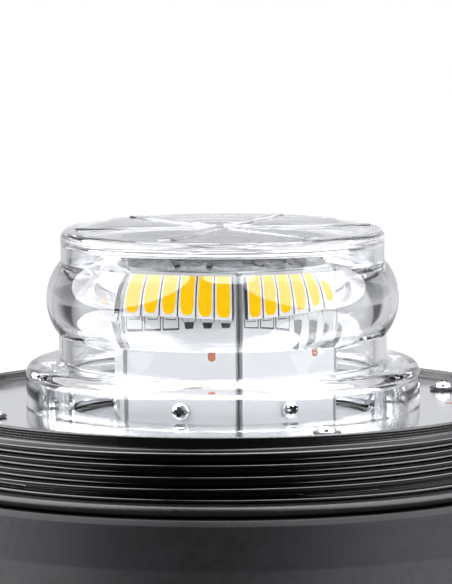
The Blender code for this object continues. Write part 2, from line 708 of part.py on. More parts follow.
def make_pad(look):
    lathe("base_pad", [
        (PAD_INNER, 0), (PAD_INNER, PAD_THICKNESS), (PAD_OUTER, PAD_THICKNESS), (PAD_OUTER, 0.5),
        (PAD_OUTER - 0.5, 0),
    ], look, HIDDEN_ROUND)


# ---------------------------------------------------------------- driver board


def make_driver(laminate, core, can, chip, plastic, sleeve):
    bm = bmesh.new()
    add_prism(bm, polygon(HIDDEN_ROUND, DRIVER_RADIUS), DRIVER_BOTTOM, DRIVER_TOP)
    board = place("driver_board", mesh_of(bm, "driver_board"), laminate)
    posts = spots(POST_AT, POST_AZIMUTHS)
    hole_low = DRIVER_BOTTOM - OVERRUN
    hole_top = DRIVER_TOP + OVERRUN
    cut(board, "driver_holes", lambda bm: add_rods(bm, posts, SCREW_PLAY, hole_low, hole_top, TINY_ROUND))

    floor = DRIVER_TOP + GAP
    flange, waist, tall = INDUCTOR
    coil = lathe("driver_inductor", [
        (0, floor), (flange, floor), (flange, floor + 1), (waist, floor + 1.3), (waist, floor + tall - 1.3),
        (flange, floor + tall - 1), (flange, floor + tall), (0, floor + tall),
    ], core, MEDIUM_ROUND)
    coil.location = around(*INDUCTOR_AT) * MM
    radius, tall = CAPACITOR
    for number, azimuth in enumerate(CAPACITOR_AZIMUTHS, 1):
        capacitor = lathe(f"driver_capacitor_{number}", [
            (0, floor), (radius, floor), (radius, floor + 1.2), (radius - 0.3, floor + 1.5),
            (radius, floor + 1.8), (radius, floor + tall - 0.5), (radius - 0.5, floor + tall),
            (0, floor + tall),
        ], can, MEDIUM_ROUND)
        capacitor.location = around(CAPACITOR_AT, azimuth) * MM
    bm = bmesh.new()
    near, far = CHIP_CORNERS
    add_box(bm, (*near, floor), (*far, floor + CHIP_HEIGHT))
    bmesh.ops.bevel(bm, geom=bm.edges[:], offset=0.2, segments=1, affect="EDGES")
    place("driver_chip", mesh_of(bm, "driver_chip"), chip)
    bm = bmesh.new()
    near, far = CONNECTOR_CORNERS
    add_box(bm, (*near, floor), (*far, floor + CONNECTOR_HEIGHT))
    connector = place("power_connector", mesh_of(bm, "power_connector"), plastic)
    cut(connector, "connector_sockets", add_sockets)
    make_harness(sleeve)


def add_sockets(bm):
    floor = DRIVER_TOP + GAP
    low, high = SOCKET_LEVELS
    mouth = CONNECTOR_CORNERS[1][1]
    for x in (-SOCKET_AT, SOCKET_AT):
        corner = (x - SOCKET_HALF, mouth - 3, floor + low)
        add_box(bm, corner, (x + SOCKET_HALF, mouth + OVERRUN, floor + high))


def make_harness(look):
    """The sleeve of wires that climbs from the driver board through the deck into the tower."""
    curve = bpy.data.curves.new("led_harness", "CURVE")
    curve.dimensions = "3D"
    curve.bevel_depth = HARNESS_RADIUS * MM
    curve.bevel_resolution = 2
    curve.use_fill_caps = True
    low = DRIVER_TOP + 0.4
    high = TOWER_TOP - 4
    count = 22
    spline = curve.splines.new("POLY")
    spline.points.add(count)
    for index, point in enumerate(spline.points):
        share = index / count
        bend = 0.5 - 0.5 * math.cos(math.pi * min(1.0, share / 0.45))
        aside, back = HARNESS_START
        spot = Vector((aside * (1 - bend), back * (1 - bend), low + (high - low) * share)) * MM
        point.co = (*spot, 1.0)
    curve.materials.append(look)
    harness = bpy.data.objects.new("led_harness", curve)
    bpy.context.scene.collection.objects.link(harness)


# ---------------------------------------------------------------- cable gland


def along_gland(build):
    """A builder whose shapes, made along +Z, point out through the back wall."""

    def turned_round(bm):
        build(bm)
        lay_out(bm, bm.verts[:], 180, GLAND_LEVEL)

    return turned_round


def add_rod(bm, radius, low, high, steps=MEDIUM_ROUND):
    add_prism(bm, polygon(steps, radius), low, high)


def add_hexagon(bm, low, high):
    add_prism(bm, polygon(SIDES, GLAND_HEX / 2 / math.cos(math.pi / SIDES), 30), low, high)


def gland_piece(name, look, build):
    bm = bmesh.new()
    along_gland(build)(bm)
    return smooth(place(name, mesh_of(bm, name), look))


def make_gland(plastic, rubber):
    face = GLAND_WALL + GAP
    hexagon_end = face + 2.8
    stub_end = hexagon_end + 2.2
    cap_start = hexagon_end + GAP
    cap_end = HOUSING_RADIUS - 0.5
    inside = GLAND_BARREL + GAP

    body = gland_piece("gland_body", plastic, lambda bm: add_rod(bm, GLAND_BARREL, GLAND_INNER_END, stub_end))
    join(body, "gland_hexagon", along_gland(lambda bm: add_hexagon(bm, face, hexagon_end)))
    bore = (GLAND_INNER_END - OVERRUN, stub_end + OVERRUN)
    cut(body, "gland_bore", along_gland(lambda bm: add_rod(bm, GLAND_BORE, *bore)))

    gland_piece("gland_cap", plastic, lambda bm: turned(bm, [
        (inside, cap_start), (inside, cap_end - 1.2), (GLAND_BORE + 0.2, cap_end - 1.2),
        (GLAND_BORE + 0.2, cap_end), (GLAND_CAP_RADIUS - 1.5, cap_end),
        (GLAND_CAP_RADIUS - 0.4, cap_end - 0.8), (GLAND_CAP_RADIUS, cap_end - 2.0),
        (GLAND_CAP_RADIUS, cap_start),
    ], MEDIUM_ROUND))
    gland_piece("gland_seal", rubber, lambda bm: turned(bm, [
        (GLAND_BORE, stub_end + 0.2), (GLAND_BORE, cap_end - 1.4), (GLAND_BARREL, cap_end - 1.4),
        (GLAND_BARREL, stub_end + 0.2),
    ], MEDIUM_ROUND))

    near, far = LOCKNUT_DEPTHS
    nut = gland_piece("gland_locknut", plastic, lambda bm: add_hexagon(bm, near, far))
    cut(nut, "locknut_bore", along_gland(lambda bm: add_rod(bm, inside, near - OVERRUN, far + OVERRUN)))


def main():
    clear_scene()
    black = material("black_polymer", (0.018, 0.018, 0.020), 0.38)
    dark_grey = material("dark_grey_polymer", (0.055, 0.057, 0.060), 0.50)
    black_rubber = material("black_rubber", (0.030, 0.030, 0.032), 0.62)
    clear = material("clear_polycarbonate", (0.95, 0.97, 1.0), 0.05, alpha=0.3)
    silver = material("polished_plate", (0.82, 0.83, 0.85), 0.16, 1.0)
    aluminium = material("aluminium", (0.78, 0.79, 0.80), 0.35, 1.0)
    chrome = material("screw_steel", (0.75, 0.75, 0.76), 0.15, 1.0)
    dark_steel = material("blackened_steel", (0.12, 0.12, 0.13), 0.40, 1.0)
    white_mask = material("white_solder_mask", (0.86, 0.87, 0.88), 0.35)
    phosphor = material("amber_phosphor", (1.0, 0.58, 0.02), 0.45)
    laminate = material("green_laminate", (0.02, 0.16, 0.07), 0.40)
    ferrite = material("ferrite", (0.07, 0.07, 0.075), 0.55)
    core = material("coil_ferrite", (0.09, 0.08, 0.08), 0.50)
    can = material("capacitor_sleeve", (0.03, 0.04, 0.10), 0.35)
    chip = material("chip_epoxy", (0.03, 0.03, 0.03), 0.45)
    plastic = material("connector_nylon", (0.80, 0.79, 0.74), 0.45)
    sleeve = material("harness_sleeve", (0.04, 0.04, 0.04), 0.60)

    make_lens(clear)
    make_tower(aluminium)
    make_boards(white_mask)
    make_led_rows(phosphor)
    make_screws(chrome, dark_steel)
    make_collar(black)
    make_plate(silver)
    make_seal(black_rubber)
    make_housing(dark_grey)
    make_cover(dark_grey)
    make_magnet(chrome, ferrite)
    make_pad(black_rubber)
    make_driver(laminate, core, can, chip, plastic, sleeve)
    make_gland(dark_grey, black_rubber)


main()
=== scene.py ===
"""Looks of a low-profile amber LED warning beacon, shown without its screw-on outer cover.

Sizes are in millimetres and are scaled to metres as each mesh is made. +Z is up, -Y is the front,
and an azimuth is counted in degrees from the front towards +X.
"""

import math

import bmesh
import bpy
from mathutils import Matrix, Vector


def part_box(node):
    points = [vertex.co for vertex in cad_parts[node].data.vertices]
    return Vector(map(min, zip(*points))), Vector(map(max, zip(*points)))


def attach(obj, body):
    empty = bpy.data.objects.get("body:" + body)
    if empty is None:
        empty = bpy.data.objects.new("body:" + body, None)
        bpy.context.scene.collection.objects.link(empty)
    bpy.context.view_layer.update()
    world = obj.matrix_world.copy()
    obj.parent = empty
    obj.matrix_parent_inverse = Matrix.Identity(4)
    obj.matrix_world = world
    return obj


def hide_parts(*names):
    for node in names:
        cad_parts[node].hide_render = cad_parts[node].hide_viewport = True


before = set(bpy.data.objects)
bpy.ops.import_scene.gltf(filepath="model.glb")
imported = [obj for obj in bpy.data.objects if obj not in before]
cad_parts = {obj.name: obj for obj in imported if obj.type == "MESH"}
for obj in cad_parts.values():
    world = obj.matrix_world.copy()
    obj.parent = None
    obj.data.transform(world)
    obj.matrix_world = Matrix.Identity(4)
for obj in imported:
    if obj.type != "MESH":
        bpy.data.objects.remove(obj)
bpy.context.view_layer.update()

MM = 0.001
FINE = 288  # sides of a large circle
MEDIUM = 96  # sides of a medium circle
SMALL = 40  # sides of a screw head
GAP = 0.3  # clearance between pieces that touch


def box_mm(node):
    low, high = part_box(node)
    return low / MM, high / MM


# Levels and radii that the frame gives, and how high the potting stands.
PLATE_LOW, PLATE_BOX_HIGH = box_mm("reflector_plate")
PLATE_TOP = PLATE_BOX_HIGH.z
PLATE_BOTTOM = PLATE_LOW.z
PLATE_OUTER = PLATE_BOX_HIGH.x
LENS_LOW, LENS_HIGH = box_mm("lens")
LENS_TOP = LENS_HIGH.z
FLANGE_RADIUS = LENS_HIGH.x
POTTING_HEIGHT = 1.5
BOSS_FOOT = LENS_LOW.z
COLLAR_LOW, COLLAR_HIGH = box_mm("threaded_collar")
RIM_TOP = COLLAR_HIGH.z
RIDGE_RADIUS = COLLAR_HIGH.x
SPIGOT_BOTTOM = COLLAR_LOW.z
_, HOUSING_HIGH = box_mm("base_housing")
HOUSING_TOP = HOUSING_HIGH.z
HOUSING_RADIUS = HOUSING_HIGH.x
_, TOWER_HIGH = box_mm("led_tower")
TOWER_TOP = TOWER_HIGH.z
BOARD_LOW, BOARD_HIGH = box_mm("led_board_1")
BOARD_BOTTOM = BOARD_LOW.z
BOARD_TOP = BOARD_HIGH.z
ROW_LOW, ROW_HIGH = box_mm("led_row_1")
LED_LEVEL = (ROW_LOW.z + ROW_HIGH.z) / 2
LED_HEIGHT = ROW_HIGH.z - ROW_LOW.z

# Clear lens.
SPOKE_HEIGHT = 0.3
CAP_TOP = LENS_TOP - SPOKE_HEIGHT
CAP_RADIUS = 28.9
BULGE_RADIUS = 31.5
BULGE_TOP = PLATE_TOP + 25.9
BULGE_BOTTOM = PLATE_TOP + 12.3
NECK_RADIUS = 29.3
WALL = 2.2
FLANGE_TOP = PLATE_TOP + 7.9
SPOKE_WIDTH = 2.5
SPOKE_INNER = 2.9
SPOKE_OUTER = 26.6
BOSS_AT = 29.6
BOSS_RADIUS = 3.0

# Tower, boards and LEDs.
SIDES = 6
CORNER_AZIMUTH = 7.5
FACET_AZIMUTHS = [CORNER_AZIMUTH - 30 + 60 * side for side in range(SIDES)]
BOARD_FACE = 18.7
BOARD_THICKNESS = 1.0
BOARD_WIDTH = 20.1
BOARD_SCREW_LEVEL = PLATE_TOP + 1.1
LEDS_PER_BOARD = 6
LED_PITCH = 3.33
LED_WIDTH = 3.1
LED_DEPTH = 0.9
LED_STANDOFF = 0.25  # from the board to the back of an LED package
PAD_HEIGHT = 0.74
PAD_LINE = 0.18  # width of the dark line round a plain pad
TONGUE_LINE = 0.1  # width of the dark line round a white tongue
FOOT_RADIUS = 26.3
FOOT_TOP = PLATE_TOP - 2.2
FOOT_SCREW_AT = 24.0
FOOT_SCREW_AZIMUTHS = [FACET_AZIMUTHS[3], FACET_AZIMUTHS[4]]
LENS_BOSS_AZIMUTHS = [FACET_AZIMUTHS[2], FACET_AZIMUTHS[5]]
TOWER_FACE = BOARD_FACE - BOARD_THICKNESS - GAP
TOWER_BORE = 9.0
TEST_PAD_AT = (40.6, 88.5)  # radius and azimuth of a copper dot on the plate
BOARD_DOT = (5.7, PLATE_TOP + 10.9, 0.75)  # place across, level and radius of a copper dot on a board

# Plate and collar.
PLATE_INNER = 27.0
PLATE_NOTCH = (24.0, 33.4, 4.0)  # round a lens boss: inner and outer reach, and half the width
SHELF_INNER = 26.8
PLATE_SCREW_AT = 44.0
PLATE_SCREW_AZIMUTHS = [23.7 + 90 * k for k in range(4)]
RIM_INNER = 52.0
COLLAR_RADIUS = 53.3
SPIGOT_OUTER = 51.8
SPIGOT_INNER = 46.5
DECK_TOP = PLATE_TOP - 4.5
DECK_BOTTOM = PLATE_TOP - 7.0
THREAD_CREST = 55.35
THREAD_PITCH = 2.0
THREAD_LEVEL = PLATE_TOP - 1.04
THREAD_START = -3 * 360 - 195
THREAD_END = 150
THREAD_RUN_OUT = 40
DECK_HOLE = 6.0
SHELF_STEP = 35.6
SHELF_BODY = 2.5
SEAL_RADIUS = 57.2
RIDGE_LEVEL = PLATE_TOP - 8.98
SEAT_RADIUS = 54.2

# Lower housing and underside.
COVER_RADIUS = 62.7
COVER_BOTTOM = 2.3
COVER_TOP = 4.8
FLANGE_BOTTOM = 18.5
FLANGE_LEVEL = 21.0
COVER_SCREW_AT = 56.5
COVER_SCREW_AZIMUTHS = [0, 120, 240]
GLAND_LEVEL = 12.6
GLAND_WALL = 57.0


# ---------------------------------------------------------------- geometry helpers


def around(radius, azimuth, level=0.0):
    turn = math.radians(azimuth)
    return Vector((radius * math.sin(turn), -radius * math.cos(turn), level))


def arc(centre, radius, start, end, steps):
    """Points of an outline along a round stretch, angles in degrees from +R towards +Z."""
    turns = [math.radians(start + (end - start) * k / steps) for k in range(steps + 1)]
    return [(centre[0] + radius * math.cos(t), centre[1] + radius * math.sin(t)) for t in turns]


def rounded(corners, closed=True, steps=4):
    """An outline through corners of (r, z, fillet), each one rounded off by its fillet."""
    points = []
    count = len(corners)
    for k, corner in enumerate(corners):
        here = Vector(corner[:2])
        fillet = corner[2] if len(corner) > 2 else 0
        if fillet == 0 or (not closed and k in (0, count - 1)):
            points.append(tuple(here))
            continue
        before = Vector(corners[k - 1][:2]) - here
        after = Vector(corners[(k + 1) % count][:2]) - here
        half = before.angle(after) / 2
        reach = min(fillet / math.tan(half), 0.48 * before.length, 0.48 * after.length)
        start = here + before.normalized() * reach
        end = here + after.normalized() * reach
        for step in range(steps + 1):
            t = step / steps
            points.append(tuple(start * (1 - t) ** 2 + here * (2 * t * (1 - t)) + end * t**2))
    return points


def to_piece(name, bm, looks, sharp=35, recalc=True):
    """A linked object from a mesh in millimetres, smooth but for its sharp edges."""
    if recalc:
        bmesh.ops.recalc_face_normals(bm, faces=bm.faces)
    bmesh.ops.scale(bm, vec=(MM, MM, MM), verts=bm.verts)
    mesh = bpy.data.meshes.new(name)
    bm.to_mesh(mesh)
    bm.free()
    for look in looks:
        mesh.materials.append(look)
    mesh.shade_smooth()
    mesh.set_sharp_from_angle(angle=math.radians(sharp))
    obj = bpy.data.objects.new(name, mesh)
    bpy.context.scene.collection.objects.link(obj)
    return obj


def add_turned(bm, outline, steps, closed=True):
    """Adds an outline of (radius, level) turned about Z. A point on the axis becomes one vertex."""
    rings = []
    for r, z in outline:
        if abs(r) < 1e-6:
            rings.append([bm.verts.new((0, 0, z))])
        else:
            rings.append([bm.verts.new(around(r, 360 * k / steps, z)) for k in range(steps)])
    pairs = list(zip(rings, rings[1:]))
    if closed:
        pairs.append((rings[-1], rings[0]))
    for near, far in pairs:
        for k in range(steps):
            n = (k + 1) % steps
            loop = [near[k % len(near)], near[n % len(near)], far[n % len(far)], far[k % len(far)]]
            unique = list(dict.fromkeys(loop))
            if len(unique) > 2:
                bm.faces.new(unique)
    return rings


def lathe(name, outline, looks, steps=FINE, sharp=35, closed=True):
    bm = bmesh.new()
    add_turned(bm, outline, steps, closed)
    return to_piece(name, bm, looks, sharp)


def add_prism(bm, outline, low, high):
    face = bm.faces.new([bm.verts.new((x, y, low)) for x, y in outline])
    raised = bmesh.ops.extrude_face_region(bm, geom=[face])["geom"]
    moved = [part for part in raised if isinstance(part, bmesh.types.BMVert)]
    bmesh.ops.translate(bm, verts=moved, vec=(0, 0, high - low))
    return moved


def polygon(sides, radius, first=0.0, centre=(0, 0)):
    points = [around(radius, first + 360 * side / sides) for side in range(sides)]
    return [(centre[0] + point.x, centre[1] + point.y) for point in points]


def round_rectangle(wide, tall, radius, steps=5, centre=(0, 0)):
    points = []
    for sx, sy, start in ((1, 1, 0), (-1, 1, 90), (-1, -1, 180), (1, -1, 270)):
        middle = (centre[0] + sx * (wide / 2 - radius), centre[1] + sy * (tall / 2 - radius))
        points += arc(middle, radius, start, start + 90, steps)
    return points


def bevelled(bm, width, segments=2, angle=50):
    """Rounds off every edge sharper than the angle."""
    edges = [e for e in bm.edges if e.is_manifold and e.calc_face_angle() > math.radians(angle)]
    bmesh.ops.bevel(
        bm, geom=edges, offset=width, segments=segments, profile=0.5, affect="EDGES",
        clamp_overlap=True,
    )


def lay_out(bm, verts, azimuth, level):
    """Turns shapes built along +Z so that they point outwards at this azimuth."""
    turn = Matrix.Rotation(math.radians(azimuth), 3, "Z") @ Matrix.Rotation(math.radians(90), 3, "X")
    bmesh.ops.rotate(bm, verts=verts, cent=(0, 0, 0), matrix=turn)
    bmesh.ops.translate(bm, verts=verts, vec=(0, 0, level))


def helper(name, bm, looks=()):
    """A hidden shape for a Boolean. A look of its own goes onto the faces that it cuts."""
    obj = to_piece(name, bm, looks)
    obj.hide_render = True
    return obj


def combined(obj, tools, sharp=35):
    """Applies Booleans of (operation, helper) to a piece and removes the helpers."""
    for operation, other in tools:
        modifier = obj.modifiers.new(other.name, "BOOLEAN")
        modifier.operation = operation
        modifier.object = other
        modifier.solver = "EXACT"
        if other.data.materials:
            modifier.material_mode = "TRANSFER"
    bpy.context.view_layer.update()
    graph = bpy.context.evaluated_depsgraph_get()
    mesh = bpy.data.meshes.new_from_object(obj.evaluated_get(graph))
    obj.modifiers.clear()
    obj.data = mesh
    mesh.shade_smooth()
    mesh.set_sharp_from_angle(angle=math.radians(sharp))
    for _, other in tools:
        bpy.data.objects.remove(other, do_unlink=True)
    return obj


def fit(piece, slot, *nodes):
    """Makes a piece ride on the one body and stand for its CAD nodes, which it hides. The slot is not used.
    """
    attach(piece, "root")
    if nodes:
        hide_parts(*nodes)
    return piece


# ---------------------------------------------------------------- materials


def add(tree, kind, inputs=None, **settings):
    """Adds a node, sets its settings, and links or sets its inputs."""
    made = tree.nodes.new(kind)
    for key, value in settings.items():
        setattr(made, key, value)
    for key, value in (inputs or {}).items():
        if isinstance(value, bpy.types.NodeSocket):
            tree.links.new(value, made.inputs[key])
        else:
            made.inputs[key].default_value = value
    return made


def maths(tree, operation, first, second=0.0):
    return add(tree, "ShaderNodeMath", {0: first, 1: second}, operation=operation).outputs[0]


def ranged(tree, value, low, high, to_low, to_high):
    sockets = {"Value": value, "From Min": low, "From Max": high, "To Min": to_low, "To Max": to_high}
    return add(tree, "ShaderNodeMapRange", sockets).outputs["Result"]


def two_colours(tree, factor, first, second):
    sockets = {0: factor, 6: first, 7: second}
    return add(tree, "ShaderNodeMix", sockets, data_type="RGBA").outputs[2]


def noise(tree, scale, detail=3.0, stretch=(1, 1, 1)):
    """Noise over the object, with features of about 1/scale metres."""
    place = add(tree, "ShaderNodeTexCoord").outputs["Object"]
    mapped = add(tree, "ShaderNodeMapping", {"Vector": place, "Scale": stretch}).outputs[0]
    made = add(tree, "ShaderNodeTexNoise", {"Vector": mapped, "Scale": scale, "Detail": detail})
    return made.outputs["Fac"]


def grey(value, alpha=1.0):
    return (value, value, value, alpha)


def shaded(colour, by):
    return tuple(min(1.0, channel * by) for channel in colour[:3]) + (1.0,)


class Look:
    """A material whose colour, roughness and bump vary over the surface."""

    def __init__(self, name, colour, roughness, metallic=0.0, spread=0.12, patches=90):
        self.material = bpy.data.materials.new(name)
        self.material.use_nodes = True
        self.tree = self.material.node_tree
        self.shader = self.tree.nodes["Principled BSDF"]
        self.shader.inputs["Metallic"].default_value = metallic
        self.heights = []
        even = noise(self.tree, patches, 4)
        factor = ranged(self.tree, even, 0.3, 0.7, 0, 1)
        base = two_colours(self.tree, factor, shaded(colour, 1 - spread), shaded(colour, 1 + spread))
        self.tree.links.new(base, self.shader.inputs["Base Color"])
        fine = noise(self.tree, patches * 9, 5)
        rough = ranged(self.tree, fine, 0.25, 0.75, roughness[0], roughness[1])
        self.tree.links.new(rough, self.shader.inputs["Roughness"])

    def set(self, **values):
        for key, value in values.items():
            self.shader.inputs[key.replace("_", " ")].default_value = value
        return self

    def bump(self, height, depth):
        """Adds relief of this depth in millimetres."""
        before = self.heights[-1] if self.heights else None
        sockets = {"Height": height, "Distance": depth * MM, "Strength": 1.0}
        if before is not None:
            sockets["Normal"] = before
        made = add(self.tree, "ShaderNodeBump", sockets).outputs[0]
        self.heights.append(made)
        self.tree.links.new(made, self.shader.inputs["Normal"])
        return self

    def grain(self, pitch, depth, stretch=(1, 1, 1), detail=3):
        return self.bump(noise(self.tree, 1 / (pitch * MM), detail, stretch), depth)


def polar(tree):
    """Azimuth in radians, distance from the axis and level over the object, in metres."""
    place = add(tree, "ShaderNodeTexCoord").outputs["Object"]
    split = add(tree, "ShaderNodeSeparateXYZ", {0: place}).outputs
    azimuth = maths(tree, "ARCTAN2", split["X"], split["Y"])
    squares = maths(tree, "ADD", maths(tree, "MULTIPLY", split["X"], split["X"]),
                    maths(tree, "MULTIPLY", split["Y"], split["Y"]))
    return azimuth, maths(tree, "SQRT", squares), split["Z"]


def collar_look():
    """Black moulded polymer, with a fine diamond grain on the plain band under the rim."""
    look = Look("black_polymer_gloss", (0.0018, 0.0018, 0.002), (0.16, 0.24), spread=0.2)
    look.grain(0.25, 0.002).set(Specular_IOR_Level=0.85)
    tree = look.tree
    azimuth, radius, level = polar(tree)
    around_it = maths(tree, "MULTIPLY", azimuth, 560)
    upwards = maths(tree, "MULTIPLY", level, 7200)
    leaning_left = maths(tree, "SINE", maths(tree, "ADD", around_it, upwards))
    leaning_right = maths(tree, "SINE", maths(tree, "SUBTRACT", around_it, upwards))
    knurl = maths(tree, "MULTIPLY", leaning_left, leaning_right)
    band = ranged(tree, level, (PLATE_TOP - 0.7) * MM, (PLATE_TOP - 0.5) * MM, 0, 1)
    outside = ranged(tree, radius, (RIM_INNER + 0.6) * MM, (RIM_INNER + 0.8) * MM, 0, 1)
    look.bump(maths(tree, "MULTIPLY", maths(tree, "MULTIPLY", knurl, band), outside), 0.018)
    return look.material


def plate_look():
    """Polished sheet metal with faint circular rolling marks and smudges."""
    look = Look("polished_plate", (0.74, 0.745, 0.76), (0.10, 0.17), 1.0, spread=0.02, patches=40)
    tree = look.tree
    _, radius, _ = polar(tree)
    rings = add(tree, "ShaderNodeTexNoise", {"W": maths(tree, "MULTIPLY", radius, 9000), "Scale": 1.0},
                noise_dimensions="1D")
    look.bump(rings.outputs["Fac"], 0.0006)
    return look.material


def lens_look():
    """Clear polycarbonate that lets lamplight through to what it covers."""
    look = Look("clear_polycarbonate", (0.985, 0.99, 1.0), (0.0, 0.03), spread=0.004, patches=60)
    look.set(Transmission_Weight=1.0, IOR=1.585)
    look.grain(9.0, 0.02, detail=2)
    tree = look.tree
    ray = add(tree, "ShaderNodeLightPath").outputs
    clear = add(tree, "ShaderNodeBsdfTransparent", {"Color": grey(0.98)}).outputs[0]
    soft = add(tree, "ShaderNodeMixShader", {0: ray["Is Diffuse Ray"], 1: look.shader.outputs[0], 2: clear})
    lit = add(tree, "ShaderNodeMixShader", {0: ray["Is Shadow Ray"], 1: soft.outputs[0], 2: clear})
    tree.links.new(lit.outputs[0], tree.nodes["Material Output"].inputs["Surface"])
    return look.material


def brushed(name, colour, roughness, stretch, depth, metallic=1.0):
    """Metal with lines drawn out along the axis whose stretch is small."""
    return Look(name, colour, roughness, metallic, spread=0.05).grain(0.12, depth, stretch).material


def mask_look():
    """White solder mask over copper traces that show as a faint relief."""
    look = Look("white_solder_mask", (0.83, 0.835, 0.845), (0.48, 0.60), spread=0.02, patches=120)
    look.grain(0.5, 0.002).set(Specular_IOR_Level=0.3)
    return look.material


def phosphor_look():
    """Amber phosphor in clear silicone, with a faint painted glow."""
    look = Look("amber_phosphor", (0.95, 0.555, 0.0), (0.36, 0.48), spread=0.04, patches=500)
    look.grain(0.12, 0.004).set(Specular_IOR_Level=0.0, Emission_Strength=0.24)
    # The emission paints a faint amber glow onto the phosphor.
    look.set(Emission_Color=(1.0, 0.54, 0.0, 1.0))
    return look.material


LENS = lens_look()
COLLAR = collar_look()
PLATE = plate_look()
MASK = mask_look()
GLOWING_PHOSPHOR = phosphor_look()
FRAME = Look("led_frame", (0.88, 0.88, 0.87), (0.30, 0.42), spread=0.03).grain(0.3, 0.002).material
SOLDER = Look("solder", (0.80, 0.80, 0.81), (0.10, 0.24), 1.0, spread=0.08).grain(0.4, 0.01).material
COPPER = Look("bare_copper", (0.45, 0.17, 0.09), (0.30, 0.45), 0.2, spread=0.2).grain(0.2, 0.004).material
LAMINATE = Look("board_edge", (0.42, 0.422, 0.43), (0.5, 0.65), spread=0.3).grain(0.15, 0.006).material
# Painted shade for the cross recess of a screw and for the flange under its head.
RECESS_SHADE = Look("screw_recess_painted_shade", (0.05, 0.05, 0.055), (0.35, 0.5), 0.8, spread=0.2).grain(0.2, 0.004).material
# A dark edge round the pads; on the sides of the LED packages it is painted shade.
LINE = Look("pad_edge_and_side_shade", (0.035, 0.035, 0.038), (0.4, 0.55), spread=0.2).grain(0.2, 0.002).material
# A dark look that paints shade as a blob under the last LEDs of each row.
SHADE_BLOB = Look("painted_shade_blob", (0.030, 0.030, 0.033), (0.35, 0.5), 0.3, spread=0.3).grain(0.3, 0.01).material
CHROME = Look("screw_chrome", (0.78, 0.78, 0.79), (0.05, 0.12), 1.0, spread=0.04).grain(0.8, 0.002).material
DARK_STEEL = Look("blackened_steel", (0.10, 0.10, 0.105), (0.32, 0.46), 1.0).grain(0.2, 0.004).material
ALUMINIUM = brushed("extruded_aluminium", (0.42, 0.43, 0.44), (0.26, 0.40), (1, 1, 0.04), 0.006)
PLATED = brushed("plated_cup", (0.66, 0.67, 0.68), (0.22, 0.36), (1, 1, 0.06), 0.004)
RUBBER = Look("black_rubber", (0.022, 0.022, 0.023), (0.42, 0.58), spread=0.25).grain(0.18, 0.008).material
SEAL = Look("seal_rubber", (0.010, 0.010, 0.011), (0.30, 0.42), spread=0.2).grain(0.2, 0.006).material
GREY = Look(
    "dark_grey_polymer", (0.012, 0.0125, 0.0135), (0.38, 0.50), spread=0.15,
).grain(0.22, 0.008).set(Specular_IOR_Level=0.24).material
FERRITE = Look("ferrite", (0.06, 0.06, 0.065), (0.45, 0.62), spread=0.3).grain(0.15, 0.012).material
GREEN = Look(
    "green_laminate", (0.015, 0.16, 0.06), (0.28, 0.42), spread=0.25, patches=300,
).grain(0.3, 0.006).material
COIL = Look("coil_ferrite", (0.08, 0.075, 0.075), (0.38, 0.55), spread=0.3).grain(0.3, 0.01).material
CAN = Look("capacitor_sleeve", (0.02, 0.03, 0.08), (0.22, 0.34), spread=0.2).grain(0.5, 0.003).material
CHIP = Look("chip_epoxy", (0.025, 0.025, 0.026), (0.40, 0.52), spread=0.2).grain(0.12, 0.006).material
NYLON = Look("connector_nylon", (0.78, 0.76, 0.68), (0.34, 0.46), spread=0.06).grain(0.4, 0.004).material
SLEEVE = Look("harness_sleeve", (0.03, 0.03, 0.03), (0.45, 0.60), spread=0.3).grain(0.3, 0.02).material
POTTING = Look(
    "potting_silicone", (0.20, 0.204, 0.215), (0.16, 0.30), spread=0.93, patches=230,
).grain(1.6, 0.45).material
WIRE = Look("wire_insulation", (0.02, 0.02, 0.021), (0.30, 0.42), spread=0.2).grain(0.3, 0.004).material


# ---------------------------------------------------------------- lens


def lens_outline():
    """The lens in section, down the outside and back up the inside. Both ends are on the axis."""
    edge = 1.6
    outline = [(0, CAP_TOP), (12, CAP_TOP), (CAP_RADIUS - edge - 0.5, CAP_TOP)]
    outline += arc((CAP_RADIUS - edge, CAP_TOP - edge), edge, 85, 0, 10)
    half = (BULGE_TOP - BULGE_BOTTOM) / 2
    middle = BULGE_BOTTOM + half
    depth = BULGE_RADIUS - CAP_RADIUS
    bend = (half * half + depth * depth) / (2 * depth)
    reach = math.degrees(math.asin(half / bend))
    outline += arc((BULGE_RADIUS - bend, middle), bend, reach, -reach, 28)[:-1]
    outline += [(NECK_RADIUS, BULGE_BOTTOM - 0.05)]
    foot = rounded([
        (NECK_RADIUS, BULGE_BOTTOM - 0.1), (NECK_RADIUS, FLANGE_TOP, 0.5),
        (FLANGE_RADIUS, FLANGE_TOP, 2.4), (FLANGE_RADIUS, PLATE_TOP + GAP),
    ], closed=False, steps=8)
    outline += foot
    inside = NECK_RADIUS - WALL - 0.2
    ceiling = CAP_TOP - WALL
    skirt = FLANGE_RADIUS - WALL
    under = FLANGE_TOP - WALL
    outline += rounded([
        (skirt, PLATE_TOP + GAP), (skirt, under, 1.2), (inside, under, 0.6), (inside, ceiling, 1.0),
        (0, ceiling),
    ], closed=False, steps=6)
    return outline


def add_spokes(bm):
    for azimuth in FACET_AZIMUTHS:
        start = len(bm.verts)
        outline = round_rectangle(SPOKE_WIDTH, SPOKE_OUTER - SPOKE_INNER, 0.5, 3,
                                  (0, -(SPOKE_OUTER + SPOKE_INNER) / 2))
        add_prism(bm, outline, CAP_TOP - 0.5, CAP_TOP + SPOKE_HEIGHT)
        bm.verts.ensure_lookup_table()
        turn = Matrix.Rotation(math.radians(azimuth), 3, "Z")
        bmesh.ops.rotate(bm, verts=bm.verts[start:], cent=(0, 0, 0), matrix=turn)


